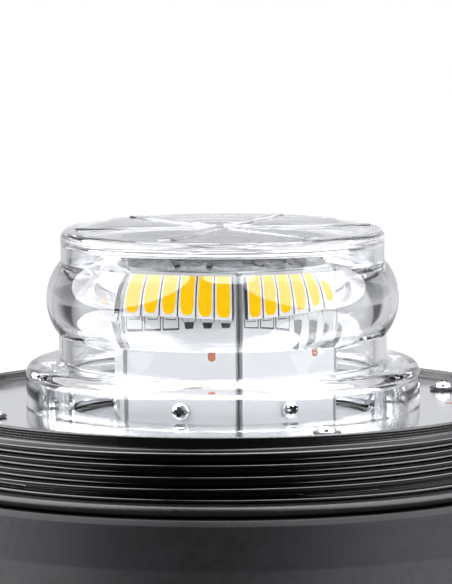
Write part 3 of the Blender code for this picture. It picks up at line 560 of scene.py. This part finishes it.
def make_lens():
    bm = bmesh.new()
    add_turned(bm, lens_outline(), FINE, closed=False)
    lens = to_piece("lens_shell", bm, [LENS])
    spokes = bmesh.new()
    add_spokes(spokes)
    top = [e for e in spokes.edges if min(v.co.z for v in e.verts) > CAP_TOP]
    bmesh.ops.bevel(spokes, geom=top, offset=0.27, segments=3, profile=0.5, affect="EDGES")
    bosses = bmesh.new()
    for azimuth in LENS_BOSS_AZIMUTHS:
        spot = around(BOSS_AT, azimuth)
        add_prism(bosses, polygon(SMALL, BOSS_RADIUS, centre=(spot.x, spot.y)), BOSS_FOOT,
                  FLANGE_TOP - WALL + 0.6)
    bores = bmesh.new()
    for azimuth in LENS_BOSS_AZIMUTHS:
        spot = around(BOSS_AT, azimuth)
        add_prism(bores, polygon(24, 1.3, centre=(spot.x, spot.y)), BOSS_FOOT - 1, BOSS_FOOT + 6.5)
    combined(lens, [
        ("UNION", helper("spokes", spokes)), ("UNION", helper("bosses", bosses)),
        ("DIFFERENCE", helper("bores", bores)),
    ], sharp=40)
    return fit(lens, "clear_polycarbonate", "lens")


# ---------------------------------------------------------------- collar, plate and seal


# One pitch of the thread in section: level from the crest's middle, and share of the full height.
THREAD_SECTION = [
    (-0.95, 0.0), (-0.70, 0.0), (-0.62, 0.04), (-0.56, 0.14), (-0.33, 0.86), (-0.28, 0.955), (-0.20, 1.0),
    (-0.08, 1.0), (0.02, 0.985), (0.10, 0.93), (0.16, 0.84), (0.20, 0.70), (0.36, 0.12), (0.42, 0.03),
    (0.50, 0.0), (0.80, 0.0),
]


def thread_share(along):
    """How much of its full height the thread has, with a run-out at each end."""
    if not THREAD_START <= along <= THREAD_END:
        return 0.0
    ramp = min(1.0, min(along - THREAD_START, THREAD_END - along) / THREAD_RUN_OUT)
    return ramp * ramp * (3 - 2 * ramp)


def add_threaded_wall(bm, low, high):
    """A helical strip whose rows follow the thread, trimmed level at both ends."""
    full = THREAD_CREST - COLLAR_RADIUS
    turns = range(math.floor((low - THREAD_LEVEL) / THREAD_PITCH) - 2, 3)
    columns = []
    for k in range(FINE):
        azimuth = 360 * k / FINE
        column = []
        for turn in turns:
            along = azimuth + 360 * turn
            for rise, share in THREAD_SECTION:
                level = THREAD_LEVEL - 0.07 + THREAD_PITCH * along / 360 + rise
                inside = low < level < high
                height = full * share * thread_share(along) if inside else 0.0
                level = max(low, min(high, level))
                column.append(bm.verts.new(around(COLLAR_RADIUS + height, azimuth, level)))
        columns.append(column)
    for k in range(FINE):
        near = columns[k]
        far = columns[(k + 1) % FINE]
        shift = len(THREAD_SECTION) if k == FINE - 1 else 0
        for row in range(len(near) - 1 - shift):
            bm.faces.new([near[row], far[row + shift], far[row + 1 + shift], near[row + 1]])


def make_collar():
    wall_top = RIM_TOP - 0.25
    wall_bottom = RIDGE_LEVEL + 0.45
    bm = bmesh.new()
    shelf = PLATE_BOTTOM - GAP
    ledge = PLATE_OUTER + GAP
    outline = rounded([
        (COLLAR_RADIUS, wall_top), (COLLAR_RADIUS, RIM_TOP, 0.25), (RIM_INNER, RIM_TOP, 0.25),
        (RIM_INNER, PLATE_TOP, 0.15), (ledge, PLATE_TOP, 0.15), (ledge, shelf), (SHELF_INNER, shelf, 0.3),
        (SHELF_INNER, DECK_TOP, 0.3), (DECK_HOLE, DECK_TOP, 0.2), (DECK_HOLE, DECK_BOTTOM, 0.2),
        (SHELF_STEP, DECK_BOTTOM, 0.3), (SHELF_STEP, shelf - SHELF_BODY, 0.3),
        (SPIGOT_INNER, shelf - SHELF_BODY, 0.3), (SPIGOT_INNER, SPIGOT_BOTTOM, 0.2),
        (SPIGOT_OUTER, SPIGOT_BOTTOM, 0.3), (SPIGOT_OUTER, HOUSING_TOP + GAP, 0.2),
        (SEAT_RADIUS, HOUSING_TOP + GAP, 0.2), (SEAT_RADIUS, RIDGE_LEVEL - 0.4, 0.1),
        (RIDGE_RADIUS, RIDGE_LEVEL - 0.35, 0.15), (RIDGE_RADIUS, RIDGE_LEVEL + 0.12, 0.3),
        (COLLAR_RADIUS + 0.15, wall_bottom - 0.1, 0.1), (COLLAR_RADIUS, wall_bottom),
    ], closed=False)
    add_turned(bm, outline, FINE, closed=False)
    add_threaded_wall(bm, wall_bottom, wall_top)
    bmesh.ops.remove_doubles(bm, verts=bm.verts, dist=1e-3)
    bmesh.ops.dissolve_degenerate(bm, edges=bm.edges, dist=1e-4)
    return fit(to_piece("collar_body", bm, [COLLAR], sharp=60), "black_polymer", "threaded_collar")


def make_plate():
    outline = rounded([
        (PLATE_INNER, PLATE_TOP, 0.15), (PLATE_OUTER, PLATE_TOP, 0.25), (PLATE_OUTER, PLATE_BOTTOM, 0.15),
        (PLATE_INNER, PLATE_BOTTOM, 0.15),
    ])
    plate = lathe("plate_ring", outline, [PLATE])
    near, far, half = PLATE_NOTCH
    cutters = []
    for number, azimuth in enumerate(LENS_BOSS_AZIMUTHS, 1):
        notch = bmesh.new()
        shape = round_rectangle(2 * half, far - near + 4, 1.2, 5, (0, -(far + near) / 2 + 2))
        add_prism(notch, shape, PLATE_BOTTOM - 1, PLATE_TOP + 1)
        turn = Matrix.Rotation(math.radians(azimuth), 3, "Z")
        bmesh.ops.rotate(notch, verts=notch.verts[:], cent=(0, 0, 0), matrix=turn)
        cutters.append(("DIFFERENCE", helper(f"plate_notch_{number}", notch)))
    fit(combined(plate, cutters), "polished_plate", "reflector_plate")
    bm = bmesh.new()
    spot = around(*TEST_PAD_AT, PLATE_TOP)
    add_turned(bm, [(0, 0.02), (0.95, 0.02), (1.05, 0.0), (1.05, -0.05), (0, -0.05)], SMALL, closed=False)
    bmesh.ops.translate(bm, verts=bm.verts, vec=spot)
    dot = to_piece("plate_test_pad", bm, [COPPER])
    fit(dot, "polished_plate")


def make_seal():
    inner = SEAT_RADIUS + GAP
    low = HOUSING_TOP + GAP
    high = RIDGE_LEVEL - 0.6
    bend = (high - low) / 2
    outline = [(inner, low)] + arc((SEAL_RADIUS, low + bend), bend, -90, 90, 18) + [(inner, high)]
    return fit(lathe("seal_ring", outline, [SEAL]), "black_rubber", "cover_seal")


# ---------------------------------------------------------------- boards and LEDs


def add_loft(bm, loops, looks=None):
    """Joins rings of points of equal count with quads, and closes both ends."""
    rings = [[bm.verts.new(point) for point in loop] for loop in loops]
    looks = looks or [0] * (len(rings) - 1)
    for look, near, far in zip(looks, rings, rings[1:]):
        for k in range(len(near)):
            n = (k + 1) % len(near)
            bm.faces.new([near[k], near[n], far[n], far[k]]).material_index = look
    bm.faces.new(list(reversed(rings[0]))).material_index = looks[0]
    bm.faces.new(rings[-1]).material_index = looks[-1]


def led_loops(centre):
    """Rounded rectangles that build one LED package, from its back out to its phosphor."""
    wide, tall = LED_WIDTH, LED_HEIGHT
    back = BOARD_FACE + GAP
    front = BOARD_FACE + LED_STANDOFF + LED_DEPTH
    well = (wide - 0.52, tall - 0.32)
    stages = [
        (wide, tall, 0.18, back), (wide, tall, 0.18, front - 0.08), (wide - 0.16, tall - 0.16, 0.14, front),
        (well[0] + 0.06, well[1] + 0.06, 0.85, front), (well[0], well[1], 0.82, front - 0.03),
        (well[0] - 0.1, well[1] - 0.1, 0.78, front - 0.09),
        (well[0] - 0.35, well[1] - 0.35, 0.6, front - 0.06),
        (well[0] - 1.2, well[1] - 1.2, 0.3, front - 0.04),
    ]
    return [
        [(x, y, level) for x, y in round_rectangle(a, b, radius, 4, centre)] for a, b, radius, level in stages
    ]


def add_slab(bm, shape, low, high, look):
    """A thin slab on a board, from a list of (x, y), between two heights above the board's face."""
    loops = [[(x, y, BOARD_FACE + level) for x, y in shape] for level in (low, high)]
    add_loft(bm, loops, [look])


def add_plain_pad(bm, centre):
    """A pad under an LED with a narrow dark line round it, and a short white tab at its top."""
    top = -LED_HEIGHT / 2
    foot = top - PAD_HEIGHT
    for inset, low, high, look in ((0.0, -0.02, 0.012, 3), (PAD_LINE, 0.0, 0.03, 0)):
        half = LED_WIDTH / 2 - 0.05 - inset
        corners = [(-half, foot + inset / 2), (half, foot + inset / 2), (half, top), (-half, top)]
        add_slab(bm, [(centre + x, y) for x, y in corners], low, high, look)
    for grow, low, high, look in ((TONGUE_LINE, 0.0, 0.04, 3), (0.0, 0.0, 0.08, 0)):
        foot = top - 0.2 - grow / 2
        corners = [(-0.8 - grow, foot), (0.8 + grow, foot), (0.95, top), (-0.95, top)]
        add_slab(bm, [(centre + x, y) for x, y in corners], low, high, look)


def add_pad_with_shade_blob(bm, centre):
    """A white tongue under an LED that ends in a raised blob painted dark, a painted shade."""
    top = -LED_HEIGHT / 2
    tongue = [(-0.90, top - 0.33), (0.90, top - 0.33), (1.4, top), (-1.4, top)]
    for grow, low, high, look in ((TONGUE_LINE, -0.02, 0.012, 3), (0.0, 0.0, 0.05, 0)):
        add_slab(bm, [(centre + x * (1 + grow), y) for x, y in tongue], low, high, look)
    stages = [(0.90, 0.34, 0.02), (0.89, 0.37, 0.12), (0.82, 0.52, 0.14), (0.70, 0.72, 0.05)]
    loops = []
    for half, drop, height in stages:
        y = top - drop
        loops.append([
            (centre - half, y, BOARD_FACE - 0.02), (centre + half, y, BOARD_FACE - 0.02),
            (centre + half - 0.06, y, BOARD_FACE + height), (centre - half + 0.06, y, BOARD_FACE + height),
        ])
    add_loft(bm, loops, [4, 4, 4])


def make_leds():
    reach = LED_PITCH * (LEDS_PER_BOARD - 1) / 2
    for number, azimuth in enumerate(FACET_AZIMUTHS, 1):
        bm = bmesh.new()
        for index in range(LEDS_PER_BOARD):
            x = -reach + index * LED_PITCH
            # The sides of each package take the dark pad-edge look, a painted shade in the narrow gaps
            # between the LEDs.
            add_loft(bm, led_loops((x, 0)), [3, 0, 0, 0, 0, 1, 1])
            # The last three LEDs on each board get a pad whose dark blob is painted shade.
            if index < LEDS_PER_BOARD // 2:
                add_plain_pad(bm, x)
            else:
                add_pad_with_shade_blob(bm, x)
        lay_out(bm, bm.verts[:], azimuth, LED_LEVEL)
        strip = to_piece(f"led_strip_{number}", bm, [FRAME, GLOWING_PHOSPHOR, SOLDER, LINE, SHADE_BLOB])
        fit(strip, "amber_led", f"led_row_{number}")


def make_boards():
    middle = (BOARD_TOP + BOARD_BOTTOM) / 2
    tall = BOARD_TOP - BOARD_BOTTOM
    back = BOARD_FACE - BOARD_THICKNESS
    for number, azimuth in enumerate(FACET_AZIMUTHS, 1):
        bm = bmesh.new()
        stages = [
            (0.0, back), (0.0, BOARD_FACE - 0.08), (0.02, BOARD_FACE - 0.04), (0.10, BOARD_FACE),
        ]
        loops = [
            [(x, y, level) for x, y in round_rectangle(BOARD_WIDTH - inset, tall - inset, 0.4, 4)]
            for inset, level in stages
        ]
        add_loft(bm, loops, [1, 0, 0])
        across, level, radius = BOARD_DOT
        centre = (across, level - middle)
        for size, low, high, look in ((radius + 0.3, 0, 0.012, 3), (radius, 0.01, 0.03, 2)):
            wide, narrow = (polygon(24, reach, centre=centre) for reach in (size, size - 0.02))
            add_loft(bm, [
                [(x, y, BOARD_FACE + low - 0.02) for x, y in wide],
                [(x, y, BOARD_FACE + high) for x, y in narrow],
            ], [look])
        lay_out(bm, bm.verts[:], azimuth, middle)
        board = to_piece(f"board_{number}", bm, [MASK, LAMINATE, COPPER, FRAME])
        fit(board, "white_solder_mask", f"led_board_{number}")


# ---------------------------------------------------------------- tower


def hexagon(face, fillet):
    """A hexagon with rounded corners, whose flat sides are this far from the axis."""
    reach = face / math.cos(math.pi / SIDES)
    turns = [CORNER_AZIMUTH + 60 * side for side in range(SIDES)]
    return rounded([(*around(reach, turn).xy, fillet) for turn in turns], steps=5)


def make_tower():
    bm = bmesh.new()
    add_prism(bm, hexagon(TOWER_FACE, 0.5), DECK_TOP + GAP, TOWER_TOP)
    tower = to_piece("tower_core", bm, [ALUMINIUM])
    foot = bmesh.new()
    add_turned(foot, rounded([
        (0, DECK_TOP + GAP), (FOOT_RADIUS, DECK_TOP + GAP, 0.2), (FOOT_RADIUS, FOOT_TOP, 0.3), (0, FOOT_TOP),
    ], closed=False), FINE, closed=False)
    bore = bmesh.new()
    add_prism(bore, polygon(MEDIUM, TOWER_BORE), DECK_TOP - 1, TOWER_TOP + 1)
    combined(tower, [("UNION", helper("tower_foot", foot)), ("DIFFERENCE", helper("tower_bore", bore))])
    fit(tower, "tower_aluminium", "led_tower")


def lump(x, y):
    """Height of the potting above its lowest level, with slow swells and small blobs."""
    swell = math.sin(0.55 * x + 0.8) * math.cos(0.48 * y - 0.4)
    blobs = math.sin(1.9 * x + 1.3 * y) * math.sin(1.6 * y - 1.1 * x + 0.7)
    return POTTING_HEIGHT * (0.55 + 0.22 * swell + 0.23 * blobs)


def make_potting():
    """Mottled grey silicone poured over the tower's top."""
    bm = bmesh.new()
    outline = polygon(MEDIUM, BOARD_FACE - 0.15)
    rings = []
    rows = 26
    low = TOWER_TOP + 0.05
    for row in range(rows, 0, -1):
        share = row / rows
        rise = min(1.0, (1 - share) * 9) ** 0.5
        rings.append([(x * share, y * share, low + rise * lump(x * share, y * share)) for x, y in outline])
    add_loft(bm, rings)
    fit(to_piece("tower_potting", bm, [POTTING], sharp=80), "harness_sleeve")


def add_tube(bm, points, radius, sides=10):
    """A round wire through points of (x, y, z)."""
    path = [Vector(point) for point in points]
    loops = []
    for k, point in enumerate(path):
        way = (path[min(k + 1, len(path) - 1)] - path[max(k - 1, 0)]).normalized()
        across = way.cross(Vector((0.3, 0.2, 1.0))).normalized()
        upward = across.cross(way)
        turns = [math.tau * side / sides for side in range(sides)]
        loops.append([point + (across * math.cos(t) + upward * math.sin(t)) * radius for t in turns])
    add_loft(bm, loops)


def make_wires():
    """A pair of wires for each board, out of the potting and over the tower's edge to the board's top."""
    bm = bmesh.new()
    steps = 14
    for azimuth in FACET_AZIMUTHS:
        for side in (-1, 1):
            points = []
            for k in range(steps + 1):
                share = k / steps
                radius = 5.5 + (BOARD_FACE - 6.3) * share
                turn = azimuth + side * (26 - 17 * share) + 6 * math.sin(5 * share + azimuth)
                arch = math.sin(math.pi * (0.12 + 0.82 * share))
                points.append(around(radius, turn, TOWER_TOP + 0.2 + 1.5 * arch))
            add_tube(bm, points, 0.5)
    fit(to_piece("board_wires", bm, [WIRE], sharp=60), "harness_sleeve")


# ---------------------------------------------------------------- screws


def screw(name, look, head_radius, head_height, shank_radius, length, flange=0.0):
    """A domed cross-recess screw, seated at Z = 0 with its shank pointing down."""
    corners = [(0, -length), (shank_radius, -length, 0.2), (shank_radius, 0)]
    if flange:
        corners += [(flange, 0, 0.1), (flange, 0.38, 0.16), (head_radius + 0.05, 0.45, 0.1)]
    else:
        corners += [(head_radius, 0, 0.1)]
    outline = rounded(corners + [(head_radius, 0.35 * head_height)], closed=False)
    dome = 9
    for k in range(1, dome + 1):
        t = math.pi / 2 * k / dome
        outline.append((head_radius * math.cos(t), head_height * (0.35 + 0.65 * math.sin(t))))
    outline[-1] = (0, head_height)
    bm = bmesh.new()
    add_turned(bm, outline, SMALL, closed=False)
    made = to_piece(name, bm, [look, RECESS_SHADE])
    # The flange round the head and the cross recess are painted dark, as painted shade.
    for face in made.data.polygons:
        radius = face.center.xy.length / MM
        face.material_index = 1 if radius > head_radius and face.center.z < 0.43 * MM else 0
    cutters = []
    for turn in (0, 1):
        cutter = bmesh.new()
        loops = []
        for share, z in ((0.30, 0.25), (0.62, 0.95), (0.74, 1.5)):
            half = (0.17 + 0.10 * share) * head_radius
            reach = share * head_radius
            pair = (reach, half) if turn else (half, reach)
            corners = [(-pair[0], -pair[1]), (pair[0], -pair[1]), (pair[0], pair[1]), (-pair[0], pair[1])]
            loops.append([(x, y, z * head_height) for x, y in corners])
        add_loft(cutter, loops)
        cutters.append(("DIFFERENCE", helper(f"{name}_cross_{turn}", cutter, [RECESS_SHADE])))
    combined(made, cutters, sharp=32)
    return made


def put(pattern, name, seat, turn, slot, node):
    """A copy of a pattern screw in its place, standing for its CAD node."""
    copy = bpy.data.objects.new(name, pattern.data)
    bpy.context.scene.collection.objects.link(copy)
    copy.matrix_world = Matrix.Translation(seat * MM) @ turn
    return fit(copy, slot, node)


def make_screws():
    board = screw("board_pattern", CHROME, 1.67, 1.2, 1.0, 4.3)
    out = Matrix.Rotation(math.radians(90), 4, "X")
    for number, azimuth in enumerate(FACET_AZIMUTHS, 1):
        twist = Matrix.Rotation(math.radians(37 + 50 * number), 4, "Z")
        turn = Matrix.Rotation(math.radians(azimuth), 4, "Z") @ out @ twist
        seat = around(BOARD_FACE + 0.1, azimuth, BOARD_SCREW_LEVEL)
        put(board, f"board_fixing_{number}", seat, turn, "screw_steel", f"board_screw_{number}")
    plate = screw("plate_pattern", CHROME, 1.6, 1.5, 1.1, 3.6, flange=2.45)
    for number, azimuth in enumerate(PLATE_SCREW_AZIMUTHS, 1):
        turn = Matrix.Rotation(math.radians(azimuth + 20 * number), 4, "Z")
        seat = around(PLATE_SCREW_AT, azimuth, PLATE_TOP + 0.15)
        put(plate, f"plate_fixing_{number}", seat, turn, "screw_steel", f"plate_screw_{number}")
    foot = screw("foot_pattern", CHROME, 1.9, 1.4, 1.1, 4.2)
    for number, azimuth in enumerate(FOOT_SCREW_AZIMUTHS, 1):
        turn = Matrix.Rotation(math.radians(azimuth + 10), 4, "Z")
        seat = around(FOOT_SCREW_AT, azimuth, FOOT_TOP + 0.15)
        put(foot, f"foot_fixing_{number}", seat, turn, "screw_steel", f"tower_screw_{number}")
    cover = screw("cover_pattern", DARK_STEEL, 2.7, 1.0, 1.4, 10.0)
    flip = Matrix.Rotation(math.pi, 4, "X")
    for number, azimuth in enumerate(COVER_SCREW_AZIMUTHS, 1):
        turn = Matrix.Rotation(math.radians(azimuth + 25), 4, "Z") @ flip
        seat = around(COVER_SCREW_AT, azimuth, COVER_BOTTOM + 1.1)
        put(cover, f"cover_fixing_{number}", seat, turn, "blackened_steel", f"cover_screw_{number}")
    for pattern in (board, plate, foot, cover):
        bpy.data.objects.remove(pattern, do_unlink=True)


# ---------------------------------------------------------------- housing and underside


def make_housing():
    outline = rounded([
        (SPIGOT_OUTER + GAP, HOUSING_TOP, 0.2), (58.6, HOUSING_TOP, 0.5), (59.2, HOUSING_TOP - 1.0, 0.6),
        (59.7, HOUSING_TOP - 3.4, 3.0), (60.8, 16.0, 5.0), (63.0, 9.8, 6.0), (65.2, 6.2, 2.0),
        (HOUSING_RADIUS, 4.6, 0.8), (HOUSING_RADIUS, 2.0, 0.6), (COVER_RADIUS + GAP, 2.0, 0.3),
        (COVER_RADIUS + GAP, COVER_TOP + GAP, 0.1), (60.8, COVER_TOP + GAP, 0.3), (60.0, 10.0, 2.0),
        (57.4, 15.8, 2.0), (56.6, FLANGE_BOTTOM, 0.4), (44.5, FLANGE_BOTTOM, 0.3), (44.5, FLANGE_LEVEL, 0.3),
        (SPIGOT_OUTER + GAP, FLANGE_LEVEL, 0.1),
    ])
    housing = lathe("housing_shell", outline, [GREY])
    pad = bmesh.new()
    add_prism(pad, round_rectangle(19.0, 9.2, 0.4, 3, (0, 54.8)), 6.0, FLANGE_BOTTOM + 0.8)
    pocket = bmesh.new()
    add_prism(pocket, round_rectangle(15.2, 13.0, 0.8, 4, (0, GLAND_WALL + 6.5)), 6.6, 19.0)
    bevelled(pocket, 0.6, 3)
    hole = bmesh.new()
    add_prism(hole, polygon(MEDIUM // 2, 4.9), 48, 60)
    lay_out(hole, hole.verts[:], 180, GLAND_LEVEL)
    combined(housing, [
        ("UNION", helper("gland_pad", pad)), ("DIFFERENCE", helper("gland_pocket", pocket)),
        ("DIFFERENCE", helper("gland_hole", hole)),
    ])
    return fit(housing, "dark_grey_polymer", "base_housing")


def dress_kept_nodes():
    """CAD pieces whose shape is kept, and which take a better material."""
    looks = {
        "led_harness": SLEEVE, "lens_screw_1": CHROME, "lens_screw_2": CHROME,
        "magnet_cup": PLATED, "magnet_ring": FERRITE, "magnet_screw": CHROME, "base_pad": RUBBER,
        "bottom_cover": GREY, "driver_board": GREEN, "driver_chip": CHIP, "driver_inductor": COIL,
        "driver_capacitor_1": CAN, "driver_capacitor_2": CAN, "power_connector": NYLON,
        "gland_body": GREY, "gland_cap": GREY, "gland_locknut": GREY, "gland_seal": RUBBER,
    }
    for number in range(1, 5):
        looks[f"collar_screw_{number}"] = DARK_STEEL
    for number in range(1, 4):
        looks[f"driver_screw_{number}"] = CHROME
    for name, look in looks.items():
        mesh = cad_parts[name].data
        mesh.materials.clear()
        mesh.materials.append(look)
        mesh.shade_smooth()
        mesh.set_sharp_from_angle(angle=math.radians(32))


# ---------------------------------------------------------------- stage

COOL = (0.965, 0.975, 1.0, 1.0)  # colour of the studio light
BACK_GLOSS = 0.76  # brightness of the surroundings behind the lamp, as its glossy surfaces meet them
LEFT_THROUGH = 0.58  # and as they are seen through the lens, from the left to the right
RIGHT_THROUGH = 0.72
FRONT_GLOSS = 0.02  # the same for what is in front of the lamp
FRONT_THROUGH = 0.15
FRONT_FILL = 0.60  # and as it lights matt surfaces
FLAG_DEPTH = 0.97  # how black the flags beside the backdrop are
FLOOR_FLAG_DEPTH = 0.4  # and how much they darken the floor


def make_camera():
    camera = bpy.data.objects.new("camera", bpy.data.cameras.new("camera"))
    bpy.context.scene.collection.objects.link(camera)
    camera.data.sensor_width = 36
    camera.data.lens = 270.4
    camera.data.clip_start = 0.05
    camera.location = (0.0006, -0.7786, 0.1415)
    look_at = Vector((0.0006, 0.0, 0.0560))
    way = look_at - camera.location
    roll = Matrix.Rotation(math.radians(-0.2), 4, "Z")
    camera.matrix_world = (
        Matrix.Translation(camera.location) @ way.to_track_quat("-Z", "Y").to_matrix().to_4x4() @ roll
    )
    bpy.context.scene.camera = camera


def flags(tree, split):
    """How much the two black flags beside the backdrop hide, by direction or place round the lamp."""
    azimuth = maths(tree, "ARCTAN2", split["X"], split["Y"])
    sides = []
    left = ((-0.72, -0.44, 1, 0), (-1.20, -1.05, 0, 1))
    right = ((0.64, 0.74, 0, 1), (1.05, 1.20, 1, 0))
    for inner, outer in (left, right):
        sides.append(maths(tree, "MULTIPLY", ranged(tree, azimuth, *inner), ranged(tree, azimuth, *outer)))
    return maths(tree, "ADD", *sides)


def surroundings(tree, split, low, high, flag_depth):
    """Brightness of what shines on the lamp: pale behind it, and dark towards the front."""
    ray = add(tree, "ShaderNodeLightPath").outputs
    forward = split["Y"]
    mirrored = ranged(tree, ray["Is Transmission Ray"], 0, 1, FRONT_GLOSS, FRONT_THROUGH)
    matt = maths(tree, "MINIMUM", ray["Diffuse Depth"], 1.0)
    filled = maths(tree, "MULTIPLY", matt, FRONT_FILL)
    front = maths(tree, "MAXIMUM", mirrored, filled)
    azimuth = maths(tree, "ARCTAN2", split["X"], split["Y"])
    through = ranged(tree, azimuth, -0.5, 0.5, LEFT_THROUGH, RIGHT_THROUGH)
    back = ranged(tree, ray["Is Transmission Ray"], 0, 1, BACK_GLOSS, through)
    behind = ranged(tree, forward, low, high, 0, 1)
    even = maths(tree, "ADD", front, maths(tree, "MULTIPLY", behind, maths(tree, "SUBTRACT", back, front)))
    sharp = maths(tree, "SUBTRACT", 1.0, matt)
    hidden = maths(tree, "MULTIPLY", maths(tree, "MULTIPLY", flags(tree, split), flag_depth), sharp)
    return ray, maths(tree, "MULTIPLY", even, maths(tree, "SUBTRACT", 1.0, hidden))


def make_floor():
    """A plain pale floor."""
    bm = bmesh.new()
    add_turned(bm, [(0, 0), (400, 0), (6000, 0)], 64, closed=False)
    look = Look("pale_floor", (0.86, 0.86, 0.87), (0.5, 0.7), spread=0.01, patches=3)
    tree = look.tree
    place = add(tree, "ShaderNodeTexCoord").outputs["Object"]
    split = add(tree, "ShaderNodeSeparateXYZ", {0: place}).outputs
    ray, even = surroundings(tree, split, -0.15, 0.30, FLOOR_FLAG_DEPTH)
    bright = add(tree, "ShaderNodeEmission", {"Color": grey(1.0), "Strength": 0.45}).outputs[0]
    glow = add(tree, "ShaderNodeAddShader", {0: look.shader.outputs[0], 1: bright}).outputs[0]
    dim = add(tree, "ShaderNodeEmission", {"Color": COOL, "Strength": even}).outputs[0]
    mixed = add(tree, "ShaderNodeMixShader", {0: ray["Is Camera Ray"], 1: dim, 2: glow}).outputs[0]
    tree.links.new(mixed, tree.nodes["Material Output"].inputs["Surface"])
    to_piece("floor", bm, [look.material])


def lamp(name, azimuth, elevation, distance, radius, brightness, mirrored):
    """A soft round light that faces the lamp, and is either mirrored in it or lights its matt surfaces."""
    data = bpy.data.lights.new(name, "AREA")
    data.shape = "DISK"
    data.size = 2 * radius
    data.energy = brightness * math.pi * math.pi * radius * radius
    data.color = COOL[:3]
    obj = bpy.data.objects.new(name, data)
    bpy.context.scene.collection.objects.link(obj)
    obj.visible_camera = False
    obj.visible_diffuse = not mirrored
    obj.visible_glossy = mirrored
    rise = math.radians(elevation)
    spot = around(distance * math.cos(rise), azimuth, distance * math.sin(rise))
    facing = (Vector((0, 0, 0.045)) - spot).to_track_quat("-Z", "Y")
    obj.matrix_world = Matrix.Translation(spot) @ facing.to_matrix().to_4x4()
    return obj


def make_lights():
    lamp("softbox_left", -86, 40, 0.9, 0.69, 5.6, True)
    lamp("softbox_right", 74, 42, 0.9, 0.72, 4.8, True)
    lamp("softbox_front", 9, 71, 1.0, 0.20, 7.5, True)
    lamp("softbox_top", 180, 75, 1.0, 0.45, 6.0, True)
    lamp("fill_left", -62, 24, 0.9, 0.38, 1.3, False)
    lamp("fill_right", 60, 24, 0.9, 0.38, 1.5, False)
    world = bpy.data.worlds.new("studio")
    bpy.context.scene.world = world
    world.use_nodes = True
    tree = world.node_tree
    tree.nodes.clear()
    way = add(tree, "ShaderNodeTexCoord").outputs["Generated"]
    split = add(tree, "ShaderNodeSeparateXYZ", {0: way}).outputs
    ray, around_it = surroundings(tree, split, -0.35, 0.70, FLAG_DEPTH)
    lit = add(tree, "ShaderNodeBackground", {"Color": COOL, "Strength": around_it}).outputs[0]
    white = add(tree, "ShaderNodeBackground", {"Color": grey(1.0), "Strength": 1.0}).outputs[0]
    mixed = add(tree, "ShaderNodeMixShader", {0: ray["Is Camera Ray"], 1: lit, 2: white}).outputs[0]
    out = add(tree, "ShaderNodeOutputWorld")
    tree.links.new(mixed, out.inputs["Surface"])


make_camera()
make_lens()
make_collar()
make_plate()
make_seal()
make_tower()
make_potting()
make_wires()
make_boards()
make_leds()
make_screws()
make_housing()
dress_kept_nodes()
make_floor()
make_lights()
bpy.context.scene.view_settings.view_transform = "Standard"
bpy.context.scene.cycles.max_bounces = 20  # light runs far inside the thick lens
bpy.context.scene.cycles.glossy_bounces = 12
bpy.context.scene.cycles.transmission_bounces = 20
